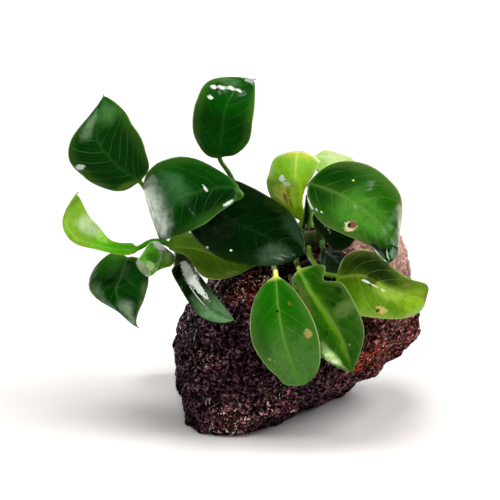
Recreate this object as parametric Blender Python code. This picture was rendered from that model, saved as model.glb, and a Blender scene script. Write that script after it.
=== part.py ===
"""An anubias growing on a stone.

The plant is a creeping stem (rhizome) along the top of a lava stone. Each leaf is one piece, a round
stalk that runs into a blade; a sheath with the next leaf sits on the growing tip, and roots grip the stone.

World axes: +X to the viewer's right, +Y away from the viewer, +Z up. The origin is the middle of the
stone's flat foot. Lengths in the tables are millimetres. Points of the plant are given as
(across, up, back): across and up as seen from the front at VIEW_TILT above the horizon, and back as the
depth along +Y. place() turns them into world coordinates.
"""

import math
from dataclasses import dataclass

import bmesh
import bpy
import numpy as np

OBJECT = "anubias_on_stone"
MM = 0.001
VIEW_TILT = math.radians(20.0)
UP = np.array([0.0, math.sin(VIEW_TILT), math.cos(VIEW_TILT)])

# Driving dimensions, millimetres
STONE_CENTRE = np.array([14.0, 4.0, 36.0])
STONE_LUMP = 1.1
STONE_RIDGE = 0.55
STONE_KNOB = 0.45
BLADE_HALF_THICKNESS = 0.32
STALK_ROOT_RADIUS = 1.25
STALK_TOP_RADIUS = 0.95
ROOT_RADIUS = 0.75
ROOT_LIFT = 2.05

# Resolution of the solids
RING_SIDES = 12
BLADE_STATIONS = (0.0, 0.05, 0.13, 0.25, 0.38, 0.52, 0.66, 0.79, 0.89, 0.95)
STALK_SPACING = 9.0
STONE_SEGMENTS = 50
STONE_RINGS = 31

# The stone is where rounded planes meet: outward direction, distance from STONE_CENTRE
STONE_FACES = (
    ((0.0, 0.0, -1.0), 40.0),      # below the foot
    ((-0.10, -1.0, -0.05), 32.0),  # dark front
    ((-1.0, -0.10, 0.0), 45.6),    # left wall
    ((-0.74, 0.05, 0.64), 33.6),   # upper left slope
    ((-0.165, -0.10, 0.98), 31.0),  # top, rising to the right
    ((0.0, -0.72, 0.70), 38.5),    # chamfer between top and front
    ((0.97, 0.0, 0.24), 47.5),     # right end
    ((0.50, -0.48, -0.72), 28.4),  # overhang at the lower right
    ((0.10, 1.0, 0.10), 32.0),     # back
    ((0.70, 0.50, -0.50), 42.0),   # lower right, behind
    ((0.72, -0.68, 0.15), 43.0),   # front right
    ((-0.72, -0.42, -0.55), 62.0),  # lower left corner
)
STONE_SHARPNESS = 14.0


@dataclass
class Leaf:
    """One leaf: `stalk` points from the rhizome, then `blade` points from the blade's base to its tip.

    facing: directions the upper side looks, spread evenly from base to tip.
    base, tip: exponents of the outline, small for a blunt end and large for a drawn-out one.
    fold: angle at which both halves rise from the midrib; curl: further turn towards each margin.
    lean: how far the sides turn with the midrib and not with the straight line from base to tip.
    bow: how far the margins follow that straight line and not the curved midrib.
    sides: width of the left and right half, as shares of half_width; either may be several shares, spread
    evenly from base to tip.
    bites: (side, place along the blade, depth, length) where a margin draws in.
    """

    name: str
    stalk: tuple
    blade: tuple
    facing: tuple
    half_width: float
    base: float = 0.5
    tip: float = 0.7
    fold: float = 0.12
    curl: tuple = (-0.2, -0.2)
    lean: float = 0.3
    bow: float = 0.0
    sides: tuple = (1.0, 1.0)
    bites: tuple = ()
    point: float = 0.03
    slim: float = 1.0


LEAVES = (
    Leaf("leaf_top_left",
         stalk=((-31, 66.3, -3), (-37.5, 78, 4), (-44, 87, 2)),
         blade=((-48, 92.6, -2), (-57, 99.3, -5), (-64.1, 109.7, -6), (-62.9, 117.3, -4), (-61.4, 126.2, 2)),
         facing=((-0.2, -0.9, 0.4),), half_width=14, base=0.29, tip=0.68,
         curl=(-0.4, -0.3), lean=0.2, bow=0.12,
         sides=((1.03, 1.06, 1.15, 0.89, 0.35), (0.52, 0.82, 1.15, 1.22, 0.85))),
    Leaf("leaf_top_middle",
         stalk=((-6, 69.5, 1.5), (-8, 83, 11), (-12.5, 95, 9)),
         blade=((-16.8, 102, 4), (-15.5, 111.3, 0), (-14.6, 119.5, -1), (-11.4, 126.5, 3), (-2.3, 132.2, 10)),
         facing=((0, -1, 0.1), (0, -1, 0.2), (0.1, -0.5, 1)), half_width=12.2, base=0.43, tip=0.64,
         fold=0.1, curl=(-0.3, -0.3), lean=0.2, bow=0.2,
         sides=((1.18, 1.13, 1.1, 1.2, 0.5), (0.62, 0.85, 0.89, 0.89, 0.76))),
    Leaf("leaf_left_broad",
         stalk=((-25, 67, -1.5), (-33, 75, -4), (-31.5, 83.5, -10), (-21, 84.5, -13),
                (-12, 85, -10.5), (-8, 86.6, -10)),
         blade=((-9.5, 88.4, -11.5), (-24.2, 87.7, -19.5), (-31.8, 85.5, -24), (-37.2, 79.2, -25),
                (-38.9, 67.9, -20)),
         facing=((-0.1, -0.8, 0.6), (-0.4, -0.8, 0.5), (-0.7, -0.7, 0.3)), half_width=17, base=0.9,
         tip=0.89, fold=0.05, curl=(-0.4, -0.4), lean=0.15,
         sides=((1.02, 0.7, 0.83, 0.74, 0.57), (1.8, 1.4, 1.16, 1.36, 1.39))),
    Leaf("leaf_centre_dark",
         stalk=((-19, 67.5, -2.5), (-24, 75, 5), (-28, 82, 4)),
         blade=((-26, 84, -2), (-15.2, 78.3, -10.5), (0, 71.3, -18), (17.2, 63.7, -23)),
         facing=((0.1, -0.6, 0.8),), half_width=18.5, base=0.37, tip=0.61,
         fold=0.05, curl=(-0.3, -0.3), lean=0.2,
         sides=((1.23, 1.12, 1.06, 1.11, 1.08), (0.78, 0.83, 0.93, 0.96, 1.06))),
    Leaf("leaf_under_olive",
         stalk=((-32.3, 64.6, -8.9), (-33.6, 65.8, -11)),
         blade=((-34.6, 66.2, -13), (-26, 66, -15), (-14, 62, -18), (-3, 59.2, -19)),
         facing=((0, -1, 0.12),), half_width=11, base=0.6, tip=0.8, fold=0.15, curl=(0, 0),
         sides=((1.4, 0.62, 0.55, 0.6, 0.6), (1.0, 0.85, 0.9, 0.85, 0.8)),
         bites=(("right", 0.1, 0.75, 0.18),)),
    Leaf("leaf_hanging_narrow",
         stalk=((-29.8, 59.6, -9.9),),
         blade=((-31.4, 60.2, -13), (-30, 55.5, -20), (-28.1, 52, -26.5), (-21, 43.5, -31.5),
                (-9.9, 38.2, -35)),
         facing=((-0.3, -0.8, 0.5),), half_width=6.8, base=0.28, tip=0.76, fold=0.3, curl=(0, 0), lean=0.5,
         sides=((0.6, 0.83, 1.04, 1.27, 1.44), (0.91, 0.57, 0.7, 1.19, 1.59))),
    Leaf("leaf_left_pale",
         stalk=((-34.2, 66.4, -3.5), (-43, 69, -4)),
         blade=((-48.9, 66.2, -6.5), (-64.5, 67.6, -12), (-73.2, 71, -13.5), (-75.9, 75, -11),
                (-71.4, 88.3, -6)),
         facing=((0, -0.5, 0.9), (0.2, -0.8, 0.6), (0.5, -0.8, 0.3)), half_width=7.5, base=0.6, tip=0.69,
         fold=0.15, curl=(0, 0),
         sides=((0.95, 0.36, 0.3, 0.35, 0.3), (1.2, 0.5, 1.2, 1.6, 1.56))),
    Leaf("leaf_left_lower",
         stalk=((-36.2, 62.6, -1.4), (-45, 60.6, 0)),
         blade=((-52.4, 61.8, -5), (-55.3, 54.2, -11), (-57, 50, -15), (-54.7, 43, -16), (-48.4, 35, -13)),
         facing=((-0.3, -0.85, 0.4),), half_width=12.4, base=0.32, tip=0.94,
         fold=0.1, curl=(-0.3, -0.3), lean=0.2, bow=0.3,
         sides=((0.66, 0.84, 1.06, 0.75, 0.3), (1.22, 1.19, 0.93, 0.5, 0.75))),
    Leaf("leaf_top_pale",
         stalk=((13, 73.3, 0.5),),
         blade=((15.6, 76.8, 2), (14, 84, -2), (13, 94, -4), (13.4, 101.9, 1), (15.2, 104.4, 12),
                (17, 101.5, 20)),
         facing=((0, -1, 0.1), (0, -0.9, 0.4), (0, 0.2, 1)), half_width=11, base=0.7, tip=0.7,
         fold=-0.1, curl=(-0.5, -0.5),
         sides=((1.5, 1.35, 1.0, 0.85, 0.7), (0.25, 0.3, 0.75, 1.05, 1.3))),
    Leaf("leaf_behind_pale",
         stalk=((19, 74, 4), (20, 85, 9)),
         blade=((23, 96, 15), (29, 99.5, 21), (35, 102.5, 27)),
         facing=((0, -0.5, 1),), half_width=8.5, base=0.5, tip=0.6, curl=(0, 0)),
    Leaf("leaf_right_broad",
         stalk=((25.5, 75.3, 2.2), (25, 83, -0.5)),
         blade=((18.4, 90.8, -10), (30.2, 86.7, -17), (39.1, 80.9, -21), (46.5, 74.1, -22),
                (52.6, 65.6, -18)),
         facing=((0.2, -0.85, 0.5),), half_width=15, base=0.53, tip=0.57, fold=0.05, lean=0.15,
         sides=((1.29, 1.19, 1.11, 1.04, 0.4), (0.59, 0.96, 0.84, 0.7, 0.79))),
    Leaf("leaf_right_under",
         stalk=((22.5, 72, -3), (21.5, 76, -5)),
         blade=((21, 80.5, -7), (26.9, 74.5, -11.5), (36.3, 69.2, -13.5)),
         facing=((-0.3, -0.6, 0.7),), half_width=8, base=0.43, tip=0.4, curl=(0, 0),
         sides=(1.0, (0.68, 0.67, 0.71, 0.98, 1.3))),
    Leaf("leaf_front_middle",
         stalk=((3, 63.8, -6.8), (4.5, 59.5, -19), (5, 57, -28)),
         blade=((5.2, 55.2, -34.5), (6.4, 40.3, -42.5), (9.8, 26.1, -45.5), (16, 13.4, -44.5)),
         facing=((0, -1, 0.15),), half_width=13.4, base=0.69, tip=0.6, fold=0.1,
         sides=((0.55, 0.89, 0.98, 1.01, 1.1), (1.06, 0.99, 0.91, 0.87, 1.6)),
         bites=(("right", 0.86, 0.25, 0.1),), point=0.01),
    Leaf("leaf_front_bitten",
         stalk=((13, 66.5, -5.2), (13.5, 60, -16)),
         blade=((14.4, 57.5, -26.5), (18.8, 49.7, -35.5), (28.7, 35.1, -39.5), (35.1, 17.2, -38.5)),
         facing=((0.1, -1, 0.15),), half_width=13, base=0.52, tip=0.97, fold=0.25,
         sides=((1.07, 0.95, 0.91, 1.09, 0.96), (0.66, 0.5, 0.79, 1.34, 1.65)),
         bites=(("left", 0.2, 0.45, 0.06),)),
    Leaf("leaf_right_lower",
         stalk=((18, 66.5, -5), (20, 60.5, -16), (24, 56.5, -22)),
         blade=((29, 55.5, -25), (38.5, 55.8, -28.5), (49, 50.5, -28.5), (64.6, 46.8, -22.5)),
         facing=((0.15, -0.92, 0.38),), half_width=13, base=0.3, tip=0.37, fold=0.2,
         curl=(0.3, 0.1), lean=0.2,
         sides=((0.79, 0.85, 0.65, 0.6, 1.0), (1.6, 1.35, 1.02, 0.86, 0.77))),
    Leaf("leaf_right_inner",
         stalk=((23.5, 68.8, -4.5),),
         blade=((24, 65.5, -11), (27.6, 61.8, -17.5), (31.2, 58, -21.5), (33.3, 54, -23)),
         facing=((0, -1, 0.3),), half_width=4.8, curl=(0, 0)),
    Leaf("leaf_young_cupped",
         stalk=((15, 70.5, -4.6),),
         blade=((16.2, 74, -10.5), (17.3, 80, -12.5), (17, 87, -12)),
         facing=((0, -1, 0.3),), half_width=2.2, fold=0.9, curl=(0, 0), slim=0.65),
    Leaf("leaf_back_left",
         stalk=((-14, 69, 2.5), (-22, 78, 14)),
         blade=((-26, 86, 24), (-29, 92, 34), (-32, 95, 44)),
         facing=((-0.2, 0.2, 1), (-0.2, 0.5, 0.9)), half_width=11),
    Leaf("leaf_back_right",
         stalk=((28, 77, 7), (28, 82, 14)),
         blade=((30, 88, 24), (34, 91, 34), (38, 90, 46)),
         facing=((0.2, 0.2, 1), (0.2, 0.6, 0.8)), half_width=11),
)

RHIZOME = dict(points=((-34.5, 62, -6), (-20, 62.5, -4), (0, 66, -2), (20, 70, 0), (32, 73.5, 4)),
               radii=(3.0, 3.6, 3.7, 3.4, 2.6))

# The sheath on the growing tip: a short tube that opens towards its end, with a lobe standing up from it
SHOOT = dict(points=((-36.4, 62, -7.2), (-40.5, 61.8, -11.5), (-46.3, 58.4, -17)), radii=(2.8, 3.9, 3.8))
LOBE_PLACE = 0.55
LOBE_LENGTH = 0.3
LOBE_HEIGHT = 1.25
LOBE_WIDTH = 0.5

# Roots run down the stone: horizontal heading in degrees (0 is +X), height angle where the root starts
# and ends, and how far it wanders sideways, all seen from STONE_CENTRE
ROOTS = (
    ("root_back_left", 128, 62, 18, 10),
    ("root_back_middle", 95, 58, 5, -12),
    ("root_back_right", 62, 58, 22, 9),
    ("root_left", 176, 50, 25, -8),
    ("root_front", 262, 52, 33, 7),
)

LEAF_GREEN = (0.030, 0.120, 0.018)
PALE_GREEN = (0.220, 0.420, 0.040)
STEM_GREEN = (0.160, 0.260, 0.050)
ROOT_BROWN = (0.160, 0.120, 0.060)
STONE_BROWN = (0.060, 0.025, 0.020)
PALE_LEAVES = {"leaf_left_pale", "leaf_top_pale", "leaf_behind_pale", "leaf_right_lower", "leaf_front_bitten"}


def unit(v):
    return v / np.maximum(np.linalg.norm(v, axis=-1, keepdims=True), 1e-9)


def place(points):
    """World coordinates, millimetres, of (across, up, back) points."""
    across, up, back = np.asarray(points, float).T
    return np.stack([across, back, (up - back * math.sin(VIEW_TILT)) / math.cos(VIEW_TILT)], -1)


def knots(points):
    """Share of the way along at each point."""
    steps = np.linalg.norm(np.diff(points, axis=0), axis=1)
    return np.concatenate([[0], np.cumsum(steps)]) / steps.sum()


def smooth(values, at, s):
    """Cubic curve through the values set at `at`, read at s."""
    values = np.asarray(values, float)
    if len(values) == 1:
        return np.repeat(values, len(s), 0)
    slope = np.gradient(values, at, axis=0, edge_order=2 if len(values) > 2 else 1)
    i = np.clip(np.searchsorted(at, s, side="right") - 1, 0, len(at) - 2)
    h = (at[i + 1] - at[i])[:, None]
    x = (s - at[i])[:, None] / h
    return (
        (2 * x**3 - 3 * x**2 + 1) * values[i] + (x**3 - 2 * x**2 + x) * h * slope[i]
        + (3 * x**2 - 2 * x**3) * values[i + 1] + (x**3 - x**2) * h * slope[i + 1]
    )


def spread(values, s):
    """Values spread evenly from 0 to 1, read at s."""
    values = np.asarray(values, float)
    values = values.reshape(len(values), -1)
    return smooth(values, np.linspace(0, 1, len(values)), s)


def heading(points, at, s):
    step = 1e-3
    ahead = smooth(points, at, np.clip(s + step, 0, 1))
    return unit(ahead - smooth(points, at, np.clip(s - step, 0, 1)))


def blade_widths(leaf, s):
    """Widths of the left and right half at s: a power curve from base to tip, less the bites."""
    e = np.clip(s / (1 - leaf.point), 0, 1)
    widest = leaf.base / (leaf.base + leaf.tip)
    share = (e / widest) ** leaf.base * ((1 - e) / (1 - widest)) ** leaf.tip
    left, right = (leaf.half_width * share * spread(np.atleast_1d(side), s)[:, 0] for side in leaf.sides)
    for side, where, depth, length in leaf.bites:
        cut = 1 - depth * np.exp(-(((s - where) / length) ** 2))
        left, right = (left * cut, right) if side == "left" else (left, right * cut)
    return left, right


def blade_frames(leaf, path, at, joint, s):
    """Midrib points, sideways directions and facing directions at s along the blade."""
    k = joint + s * (1 - joint)
    along = heading(path, at, k)
    ends = place((leaf.blade[0], leaf.blade[-1]))
    chord = unit(ends[1] - ends[0])
    lean = (leaf.lean + (1 - leaf.lean) * np.exp(-s / 0.04))[:, None]
    side = unit(np.cross(lean * along + (1 - lean) * chord, unit(spread(leaf.facing, s))))
    return smooth(path, at, k), side, unit(np.cross(side, along))


def stalk_frames(path, at, joint, s, first_side):
    """The same for the stalk, with the sideways direction carried back from the blade's base."""
    along = heading(path, at, joint * s)
    sides = []
    for direction in along[::-1]:
        first_side = unit(first_side - (first_side @ direction) * direction)
        sides.append(first_side)
    side = np.array(sides[::-1])
    return smooth(path, at, joint * s), side, np.cross(side, along)


def leaf_rings(leaf):
    """Cross sections of the leaf from the foot of the stalk to just short of the tip, and the tip.

    A stalk ring is a circle. A blade ring is a flat ellipse bent along an arc: at a share t of the half
    width its two halves stand at the angle fold + curl * t to the blade's side direction.
    """
    s = np.array(BLADE_STATIONS)
    path = place(leaf.stalk + leaf.blade)
    at = knots(path)
    joint = at[len(leaf.stalk)]
    mid, side, face = blade_frames(leaf, path, at, joint, s)
    length = np.linalg.norm(np.diff(path[: len(leaf.stalk) + 1], axis=0), axis=1).sum()
    count = max(2, round(length / STALK_SPACING) + 1)
    s_stalk = np.linspace(0, 1, count, endpoint=False)
    mid_stalk, side_stalk, face_stalk = stalk_frames(path, at, joint, s_stalk, side[0])

    turn = np.arange(RING_SIDES) * 2 * math.pi / RING_SIDES
    t = -np.cos(turn)[None, :]
    rise = np.sin(turn)[None, :]
    across = np.abs(t)
    sign = np.sign(np.round(t, 6))

    radius = leaf.slim * (STALK_ROOT_RADIUS + (STALK_TOP_RADIUS - STALK_ROOT_RADIUS) * s_stalk[:, None])
    stalk = (mid_stalk[:, None] + (radius * t)[..., None] * side_stalk[:, None]
             + (radius * rise)[..., None] * face_stalk[:, None])

    top_radius = leaf.slim * STALK_TOP_RADIUS
    left, right = (np.hypot(w, top_radius * (1 - s) ** 2)[:, None] for w in blade_widths(leaf, s))
    width = np.where(t < 0, left, right)
    grown = (1 - np.exp(-s / 0.05))[:, None]
    fold = leaf.fold * grown
    curl = np.where(t < 0, leaf.curl[0], leaf.curl[1]) * grown
    half = curl * across / 2
    shift = ((mid[0] + (place(leaf.blade[-1:])[0] - mid[0]) * s[:, None] - mid) * side).sum(-1)
    lateral = sign * across * np.cos(fold + half) * np.sinc(half / math.pi) * width
    lateral = lateral + leaf.bow * shift[:, None] * across
    height = across * np.sin(fold + half) * np.sinc(half / math.pi) * width
    thick = BLADE_HALF_THICKNESS + (top_radius - BLADE_HALF_THICKNESS) * np.exp(-s / 0.05)
    thick = thick[:, None] * rise
    angle = fold + curl * across
    lateral = lateral - sign * np.sin(angle) * thick
    height = height + np.cos(angle) * thick
    blade = mid[:, None] + lateral[..., None] * side[:, None] + height[..., None] * face[:, None]
    return np.concatenate([stalk, blade]), place(leaf.blade[-1:])[0]


def lumps(points):
    """Uneven surface of the stone: long waves, ridges where shorter ones cross zero, and rounded knobs."""
    x, y, z = points.T
    long = np.sin(0.19 * x + 0.11 * z + 0.7) * np.cos(0.17 * y - 0.13 * z + 1.9)
    short = np.sin(0.37 * x - 0.29 * y + 2.1) + np.sin(0.33 * y + 0.41 * z + 0.4)
    ridge = 1 - np.abs(short + 0.6 * np.sin(0.45 * z - 0.31 * x))
    knob = np.sin(0.52 * x + 0.9) * np.sin(0.49 * y + 0.2 * x + 2.2) + np.sin(0.5 * z + 0.17 * x + 0.5)
    return STONE_LUMP * long + STONE_RIDGE * ridge + STONE_KNOB * knob


def stone_radius(directions):
    """Distance from STONE_CENTRE to the surface; the foot is cut flat at z = 0."""
    total = np.zeros(len(directions))
    for normal, distance in STONE_FACES:
        share = directions @ unit(np.array(normal)) / distance
        total += np.maximum(share, 0) ** STONE_SHARPNESS
    radius = total ** (-1 / STONE_SHARPNESS)
    radius = radius + lumps(STONE_CENTRE + radius[:, None] * directions)
    down = np.maximum(-directions[:, 2], 1e-6)
    return np.minimum(radius, STONE_CENTRE[2] / down)


def material(name, colour, roughness):
    made = bpy.data.materials.new(name)
    made.use_nodes = True
    shader = made.node_tree.nodes["Principled BSDF"]
    shader.inputs["Base Color"].default_value = (*colour, 1.0)
    shader.inputs["Roughness"].default_value = roughness
    shader.inputs["Metallic"].default_value = 0.0
    return made


def add_object(name, data, collection, look):
    made = bpy.data.objects.new(name, data)
    made.data.materials.append(look)
    collection.objects.link(made)
    return made


def lofted_mesh(name, rings, tip=None):
    """Closed mesh through equal rings; the last one closes on the tip, or on a flat cap."""
    count, sides = rings.shape[:2]
    mesh = bpy.data.meshes.new(name)
    shape = bmesh.new()
    rows = [[shape.verts.new(point * MM) for point in ring] for ring in rings]
    for below, above in zip(rows, rows[1:]):
        for i in range(sides):
            j = (i + 1) % sides
            shape.faces.new((below[i], below[j], above[j], above[i]))
    shape.faces.new(rows[0])
    if tip is None:
        shape.faces.new(rows[-1])
    else:
        end = shape.verts.new(tip * MM)
        for i in range(sides):
            shape.faces.new((rows[-1][i], rows[-1][(i + 1) % sides], end))
    bmesh.ops.recalc_face_normals(shape, faces=shape.faces)
    bmesh.ops.triangulate(shape, faces=shape.faces)
    shape.to_mesh(mesh)
    shape.free()
    mesh.shade_smooth()
    return mesh


def build_leaf(leaf, collection, look):
    rings, tip = leaf_rings(leaf)
    return add_object(leaf.name, lofted_mesh(leaf.name, rings, tip), collection, look)


def lobe(s, outwards):
    """What the sheath's lobe adds to its radius, as a share: a bell curve along the tube and round its upper
    side."""
    turned = np.arccos(np.clip(outwards @ UP, -1, 1))
    return LOBE_HEIGHT * np.exp(-(((s - LOBE_PLACE) / LOBE_LENGTH) ** 2) - (turned / LOBE_WIDTH) ** 2)


def tube_rings(points, radii, count, sides, scar=0.0, lobed=0.0):
    """Rings along a smooth curve; `scar` swells every other ring, as leaf scars do, and `lobed` is 1 where
    the tube has a lobe."""
    path = place(points)
    at = knots(path)
    s = np.linspace(0, 1, count)
    along = heading(path, at, s)
    first = unit(np.cross(along, np.array([0.2, 0.3, 0.9])))
    second = np.cross(along, first)
    radius = spread(radii, s)[:, 0] * (1 + scar * np.where(np.arange(count) % 2, 1, -1))
    turn = np.arange(sides) * 2 * math.pi / sides
    circle = np.cos(turn)[None, :, None] * first[:, None] + np.sin(turn)[None, :, None] * second[:, None]
    radius = radius[:, None] * (1 + lobed * lobe(s[:, None], circle))
    return smooth(path, at, s)[:, None] + radius[..., None] * circle


def build_stone(collection, look):
    """A sphere whose points are moved out along their directions to the stone's surface."""
    mesh = bpy.data.meshes.new("stone")
    shape = bmesh.new()
    bmesh.ops.create_uvsphere(shape, u_segments=STONE_SEGMENTS, v_segments=STONE_RINGS, radius=1.0)
    directions = unit(np.array([vertex.co for vertex in shape.verts]))
    points = STONE_CENTRE + stone_radius(directions)[:, None] * directions
    for vertex, point in zip(shape.verts, points):
        vertex.co = point * MM
    bmesh.ops.triangulate(shape, faces=shape.faces)
    shape.to_mesh(mesh)
    shape.free()
    mesh.shade_smooth()
    return add_object("stone", mesh, collection, look)


def root_points(turn, start, end, wander):
    """A root that follows the stone's surface, lifted clear of it."""
    s = np.linspace(0, 1, 12)
    azimuth = np.radians(turn + wander * np.sin(2.2 * math.pi * s) * s)
    height = np.radians(start + (end - start) * s)
    directions = np.stack([np.cos(azimuth) * np.cos(height), np.sin(azimuth) * np.cos(height),
                           np.sin(height)], -1)
    return STONE_CENTRE + (stone_radius(directions) + ROOT_LIFT)[:, None] * directions


def build_root(name, points, collection, look):
    curve = bpy.data.curves.new(name, "CURVE")
    curve.dimensions = "3D"
    curve.bevel_depth = ROOT_RADIUS * MM
    curve.bevel_resolution = 1
    curve.use_fill_caps = True
    line = curve.splines.new("POLY")
    line.points.add(len(points) - 1)
    for i, point in enumerate(points):
        line.points[i].co = (*(point * MM), 1.0)
        line.points[i].radius = 1.0 - 0.5 * i / (len(points) - 1)
    return add_object(name, curve, collection, look)


def main():
    for old in list(bpy.data.objects):
        bpy.data.objects.remove(old, do_unlink=True)
    collection = bpy.data.collections.new(OBJECT)
    bpy.context.scene.collection.children.link(collection)

    green = material("leaf_green", LEAF_GREEN, 0.30)
    pale = material("pale_leaf_green", PALE_GREEN, 0.35)
    stem = material("stem_green", STEM_GREEN, 0.45)
    root = material("root_brown", ROOT_BROWN, 0.60)
    rock = material("lava_stone", STONE_BROWN, 0.70)

    build_stone(collection, rock)
    rhizome = lofted_mesh("rhizome", tube_rings(**RHIZOME, count=15, sides=8, scar=0.05))
    add_object("rhizome", rhizome, collection, stem)
    shoot = lofted_mesh("shoot", tube_rings(**SHOOT, count=10, sides=12, lobed=1.0))
    add_object("shoot", shoot, collection, stem)
    for name, *course in ROOTS:
        build_root(name, root_points(*course), collection, root)
    for leaf in LEAVES:
        build_leaf(leaf, collection, pale if leaf.name in PALE_LEAVES else green)


main()
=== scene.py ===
"""An anubias growing on a lava stone: the detailed pieces, their finishes, the stage and the camera.

Shapes are worked out in millimetres and written to the meshes in metres. World axes: +X to the viewer's
right, +Y away from the viewer, +Z up; the origin is the middle of the stone's flat foot. Points of the
plant are given as (across, up, back): across and up as seen from the front at VIEW_TILT above the horizon,
back as the depth along +Y. place() turns them into world coordinates.
"""

import math
from dataclasses import dataclass
from functools import partialmethod

import bpy
import numpy as np
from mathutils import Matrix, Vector


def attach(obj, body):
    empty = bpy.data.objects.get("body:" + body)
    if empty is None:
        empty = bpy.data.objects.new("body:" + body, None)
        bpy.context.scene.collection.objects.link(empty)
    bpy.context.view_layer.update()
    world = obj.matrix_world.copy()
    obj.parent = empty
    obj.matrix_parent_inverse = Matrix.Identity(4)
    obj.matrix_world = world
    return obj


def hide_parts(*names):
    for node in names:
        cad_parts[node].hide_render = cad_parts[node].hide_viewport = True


bl_info = {
    "name": "Anubias on stone",
    "version": (1, 0, 0),
    "blender": (4, 5, 0),
    "location": "View3D > Sidebar > Plant",
    "description": "Leaves, creeping stem, roots and lava stone of a small aquarium plant",
    "category": "Add Mesh",
}

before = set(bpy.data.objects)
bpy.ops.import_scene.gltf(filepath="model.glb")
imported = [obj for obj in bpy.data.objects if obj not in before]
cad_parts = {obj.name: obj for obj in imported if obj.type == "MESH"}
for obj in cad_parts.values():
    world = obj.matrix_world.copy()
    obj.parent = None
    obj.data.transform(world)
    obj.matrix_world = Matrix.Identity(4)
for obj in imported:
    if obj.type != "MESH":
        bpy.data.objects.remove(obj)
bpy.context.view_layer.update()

MM = 0.001
VIEW_TILT = math.radians(20.0)
UP = np.array([0.0, math.sin(VIEW_TILT), math.cos(VIEW_TILT)])

# Stone: lengths in millimetres
STONE_CENTRE = np.array([14.0, 4.0, 36.0])
STONE_LUMP = 1.1
STONE_RIDGE = 0.55
STONE_KNOB = 0.45
STONE_COLUMNS, STONE_ROWS = 444, 222

# Plant: lengths in millimetres
BLADE_HALF_THICKNESS = 0.32
BLADE_ONSET = 0.05  # share of a blade over which it opens out of its stalk
BLADE_LAST_RING = 0.996
MARGIN_FADE = 0.04  # share of a blade over which its sides stop turning with the midrib
RIB_WIDTH = 0.55
RIB_DIP, RIB_SWELL = 0.16, 0.42  # how far the midrib dips above and swells below
VEIN_WIDTH = 0.09  # share of the distance between side veins
STALK_ROOT_RADIUS = 1.25
STALK_TOP_RADIUS = 0.95
STALK_RING_GAP = 0.8
SCAR_COUNT = 26  # leaf scars along the creeping stem
SHEATH_WRAP = 0.8  # turns of the sheath's edge from its foot to its mouth
ROOT_RADIUS = 0.75
ROOT_LIFT = 2.05

# Stage: lengths in metres, focal length in millimetres
FLOOR_REACH = 4.0
FLOOR_LEVEL = -0.00005
LIT_POINT = (0, 0, 0.04)
TARGET_ACROSS, TARGET_UP = -0.0048, 0.0656  # middle of the picture
FOCAL_LENGTH = 250.0
CAMERA_DISTANCE = 1.389  # of a camera with that focal length
WALL_LEFT, WALL_RIGHT = 3.5, 2.5  # brightness of the studio's walls

# Rounded planes that make the stone: outward direction, distance from STONE_CENTRE
STONE_FACES = (
    ((0.0, 0.0, -1.0), 40.0),      # below the foot
    ((-0.10, -1.0, -0.05), 32.0),  # dark front
    ((-1.0, -0.10, 0.0), 45.6),    # left wall
    ((-0.74, 0.05, 0.64), 33.6),   # upper left slope
    ((-0.165, -0.10, 0.98), 31.0),  # top, rising to the right
    ((0.0, -0.72, 0.70), 38.5),    # chamfer between top and front
    ((0.97, 0.0, 0.24), 47.5),     # right end
    ((0.50, -0.48, -0.72), 28.4),  # overhang at the lower right
    ((0.10, 1.0, 0.10), 32.0),     # back
    ((0.70, 0.50, -0.50), 42.0),   # lower right, behind
    ((0.72, -0.68, 0.15), 43.0),   # front right
    ((-0.72, -0.42, -0.55), 62.0),  # lower left corner
)
STONE_SHARPNESS = 14.0


def tint(red, green, blue):
    """A colour as seen on a screen, 0 to 255, turned into the light it stands for."""
    seen = np.array([red, green, blue]) / 255.0
    light = np.where(seen <= 0.04045, seen / 12.92, ((seen + 0.055) / 1.055) ** 2.4)
    return tuple(float(x) for x in light)


@dataclass
class Leaf:
    """One leaf: `stalk` points from the rhizome, then `blade` points from the blade's base to its tip.

    facing: directions the upper side looks, spread evenly from base to tip.
    base, tip: exponents of the outline, small for a blunt end and large for a drawn-out one.
    fold: angle at which both halves rise from the midrib; curl: further turn towards each margin.
    lean: how far the sides turn with the midrib and not with the straight line from base to tip.
    bow: how far the margins follow that straight line and not the curved midrib.
    sides: width of the left and right half, as shares of half_width; either may be several shares, spread
    evenly from base to tip.
    bites: (side, place along the blade, depth, length) where a margin draws in.
    point: share of the blade that its drawn-out point takes; slim: radius of the stalk, as a share.
    """

    name: str
    stalk: tuple
    blade: tuple
    facing: tuple
    half_width: float
    base: float = 0.5
    tip: float = 0.7
    fold: float = 0.12
    curl: tuple = (-0.2, -0.2)
    lean: float = 0.3
    bow: float = 0.0
    sides: tuple = (1.0, 1.0)
    bites: tuple = ()
    point: float = 0.03
    slim: float = 1.0


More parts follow.
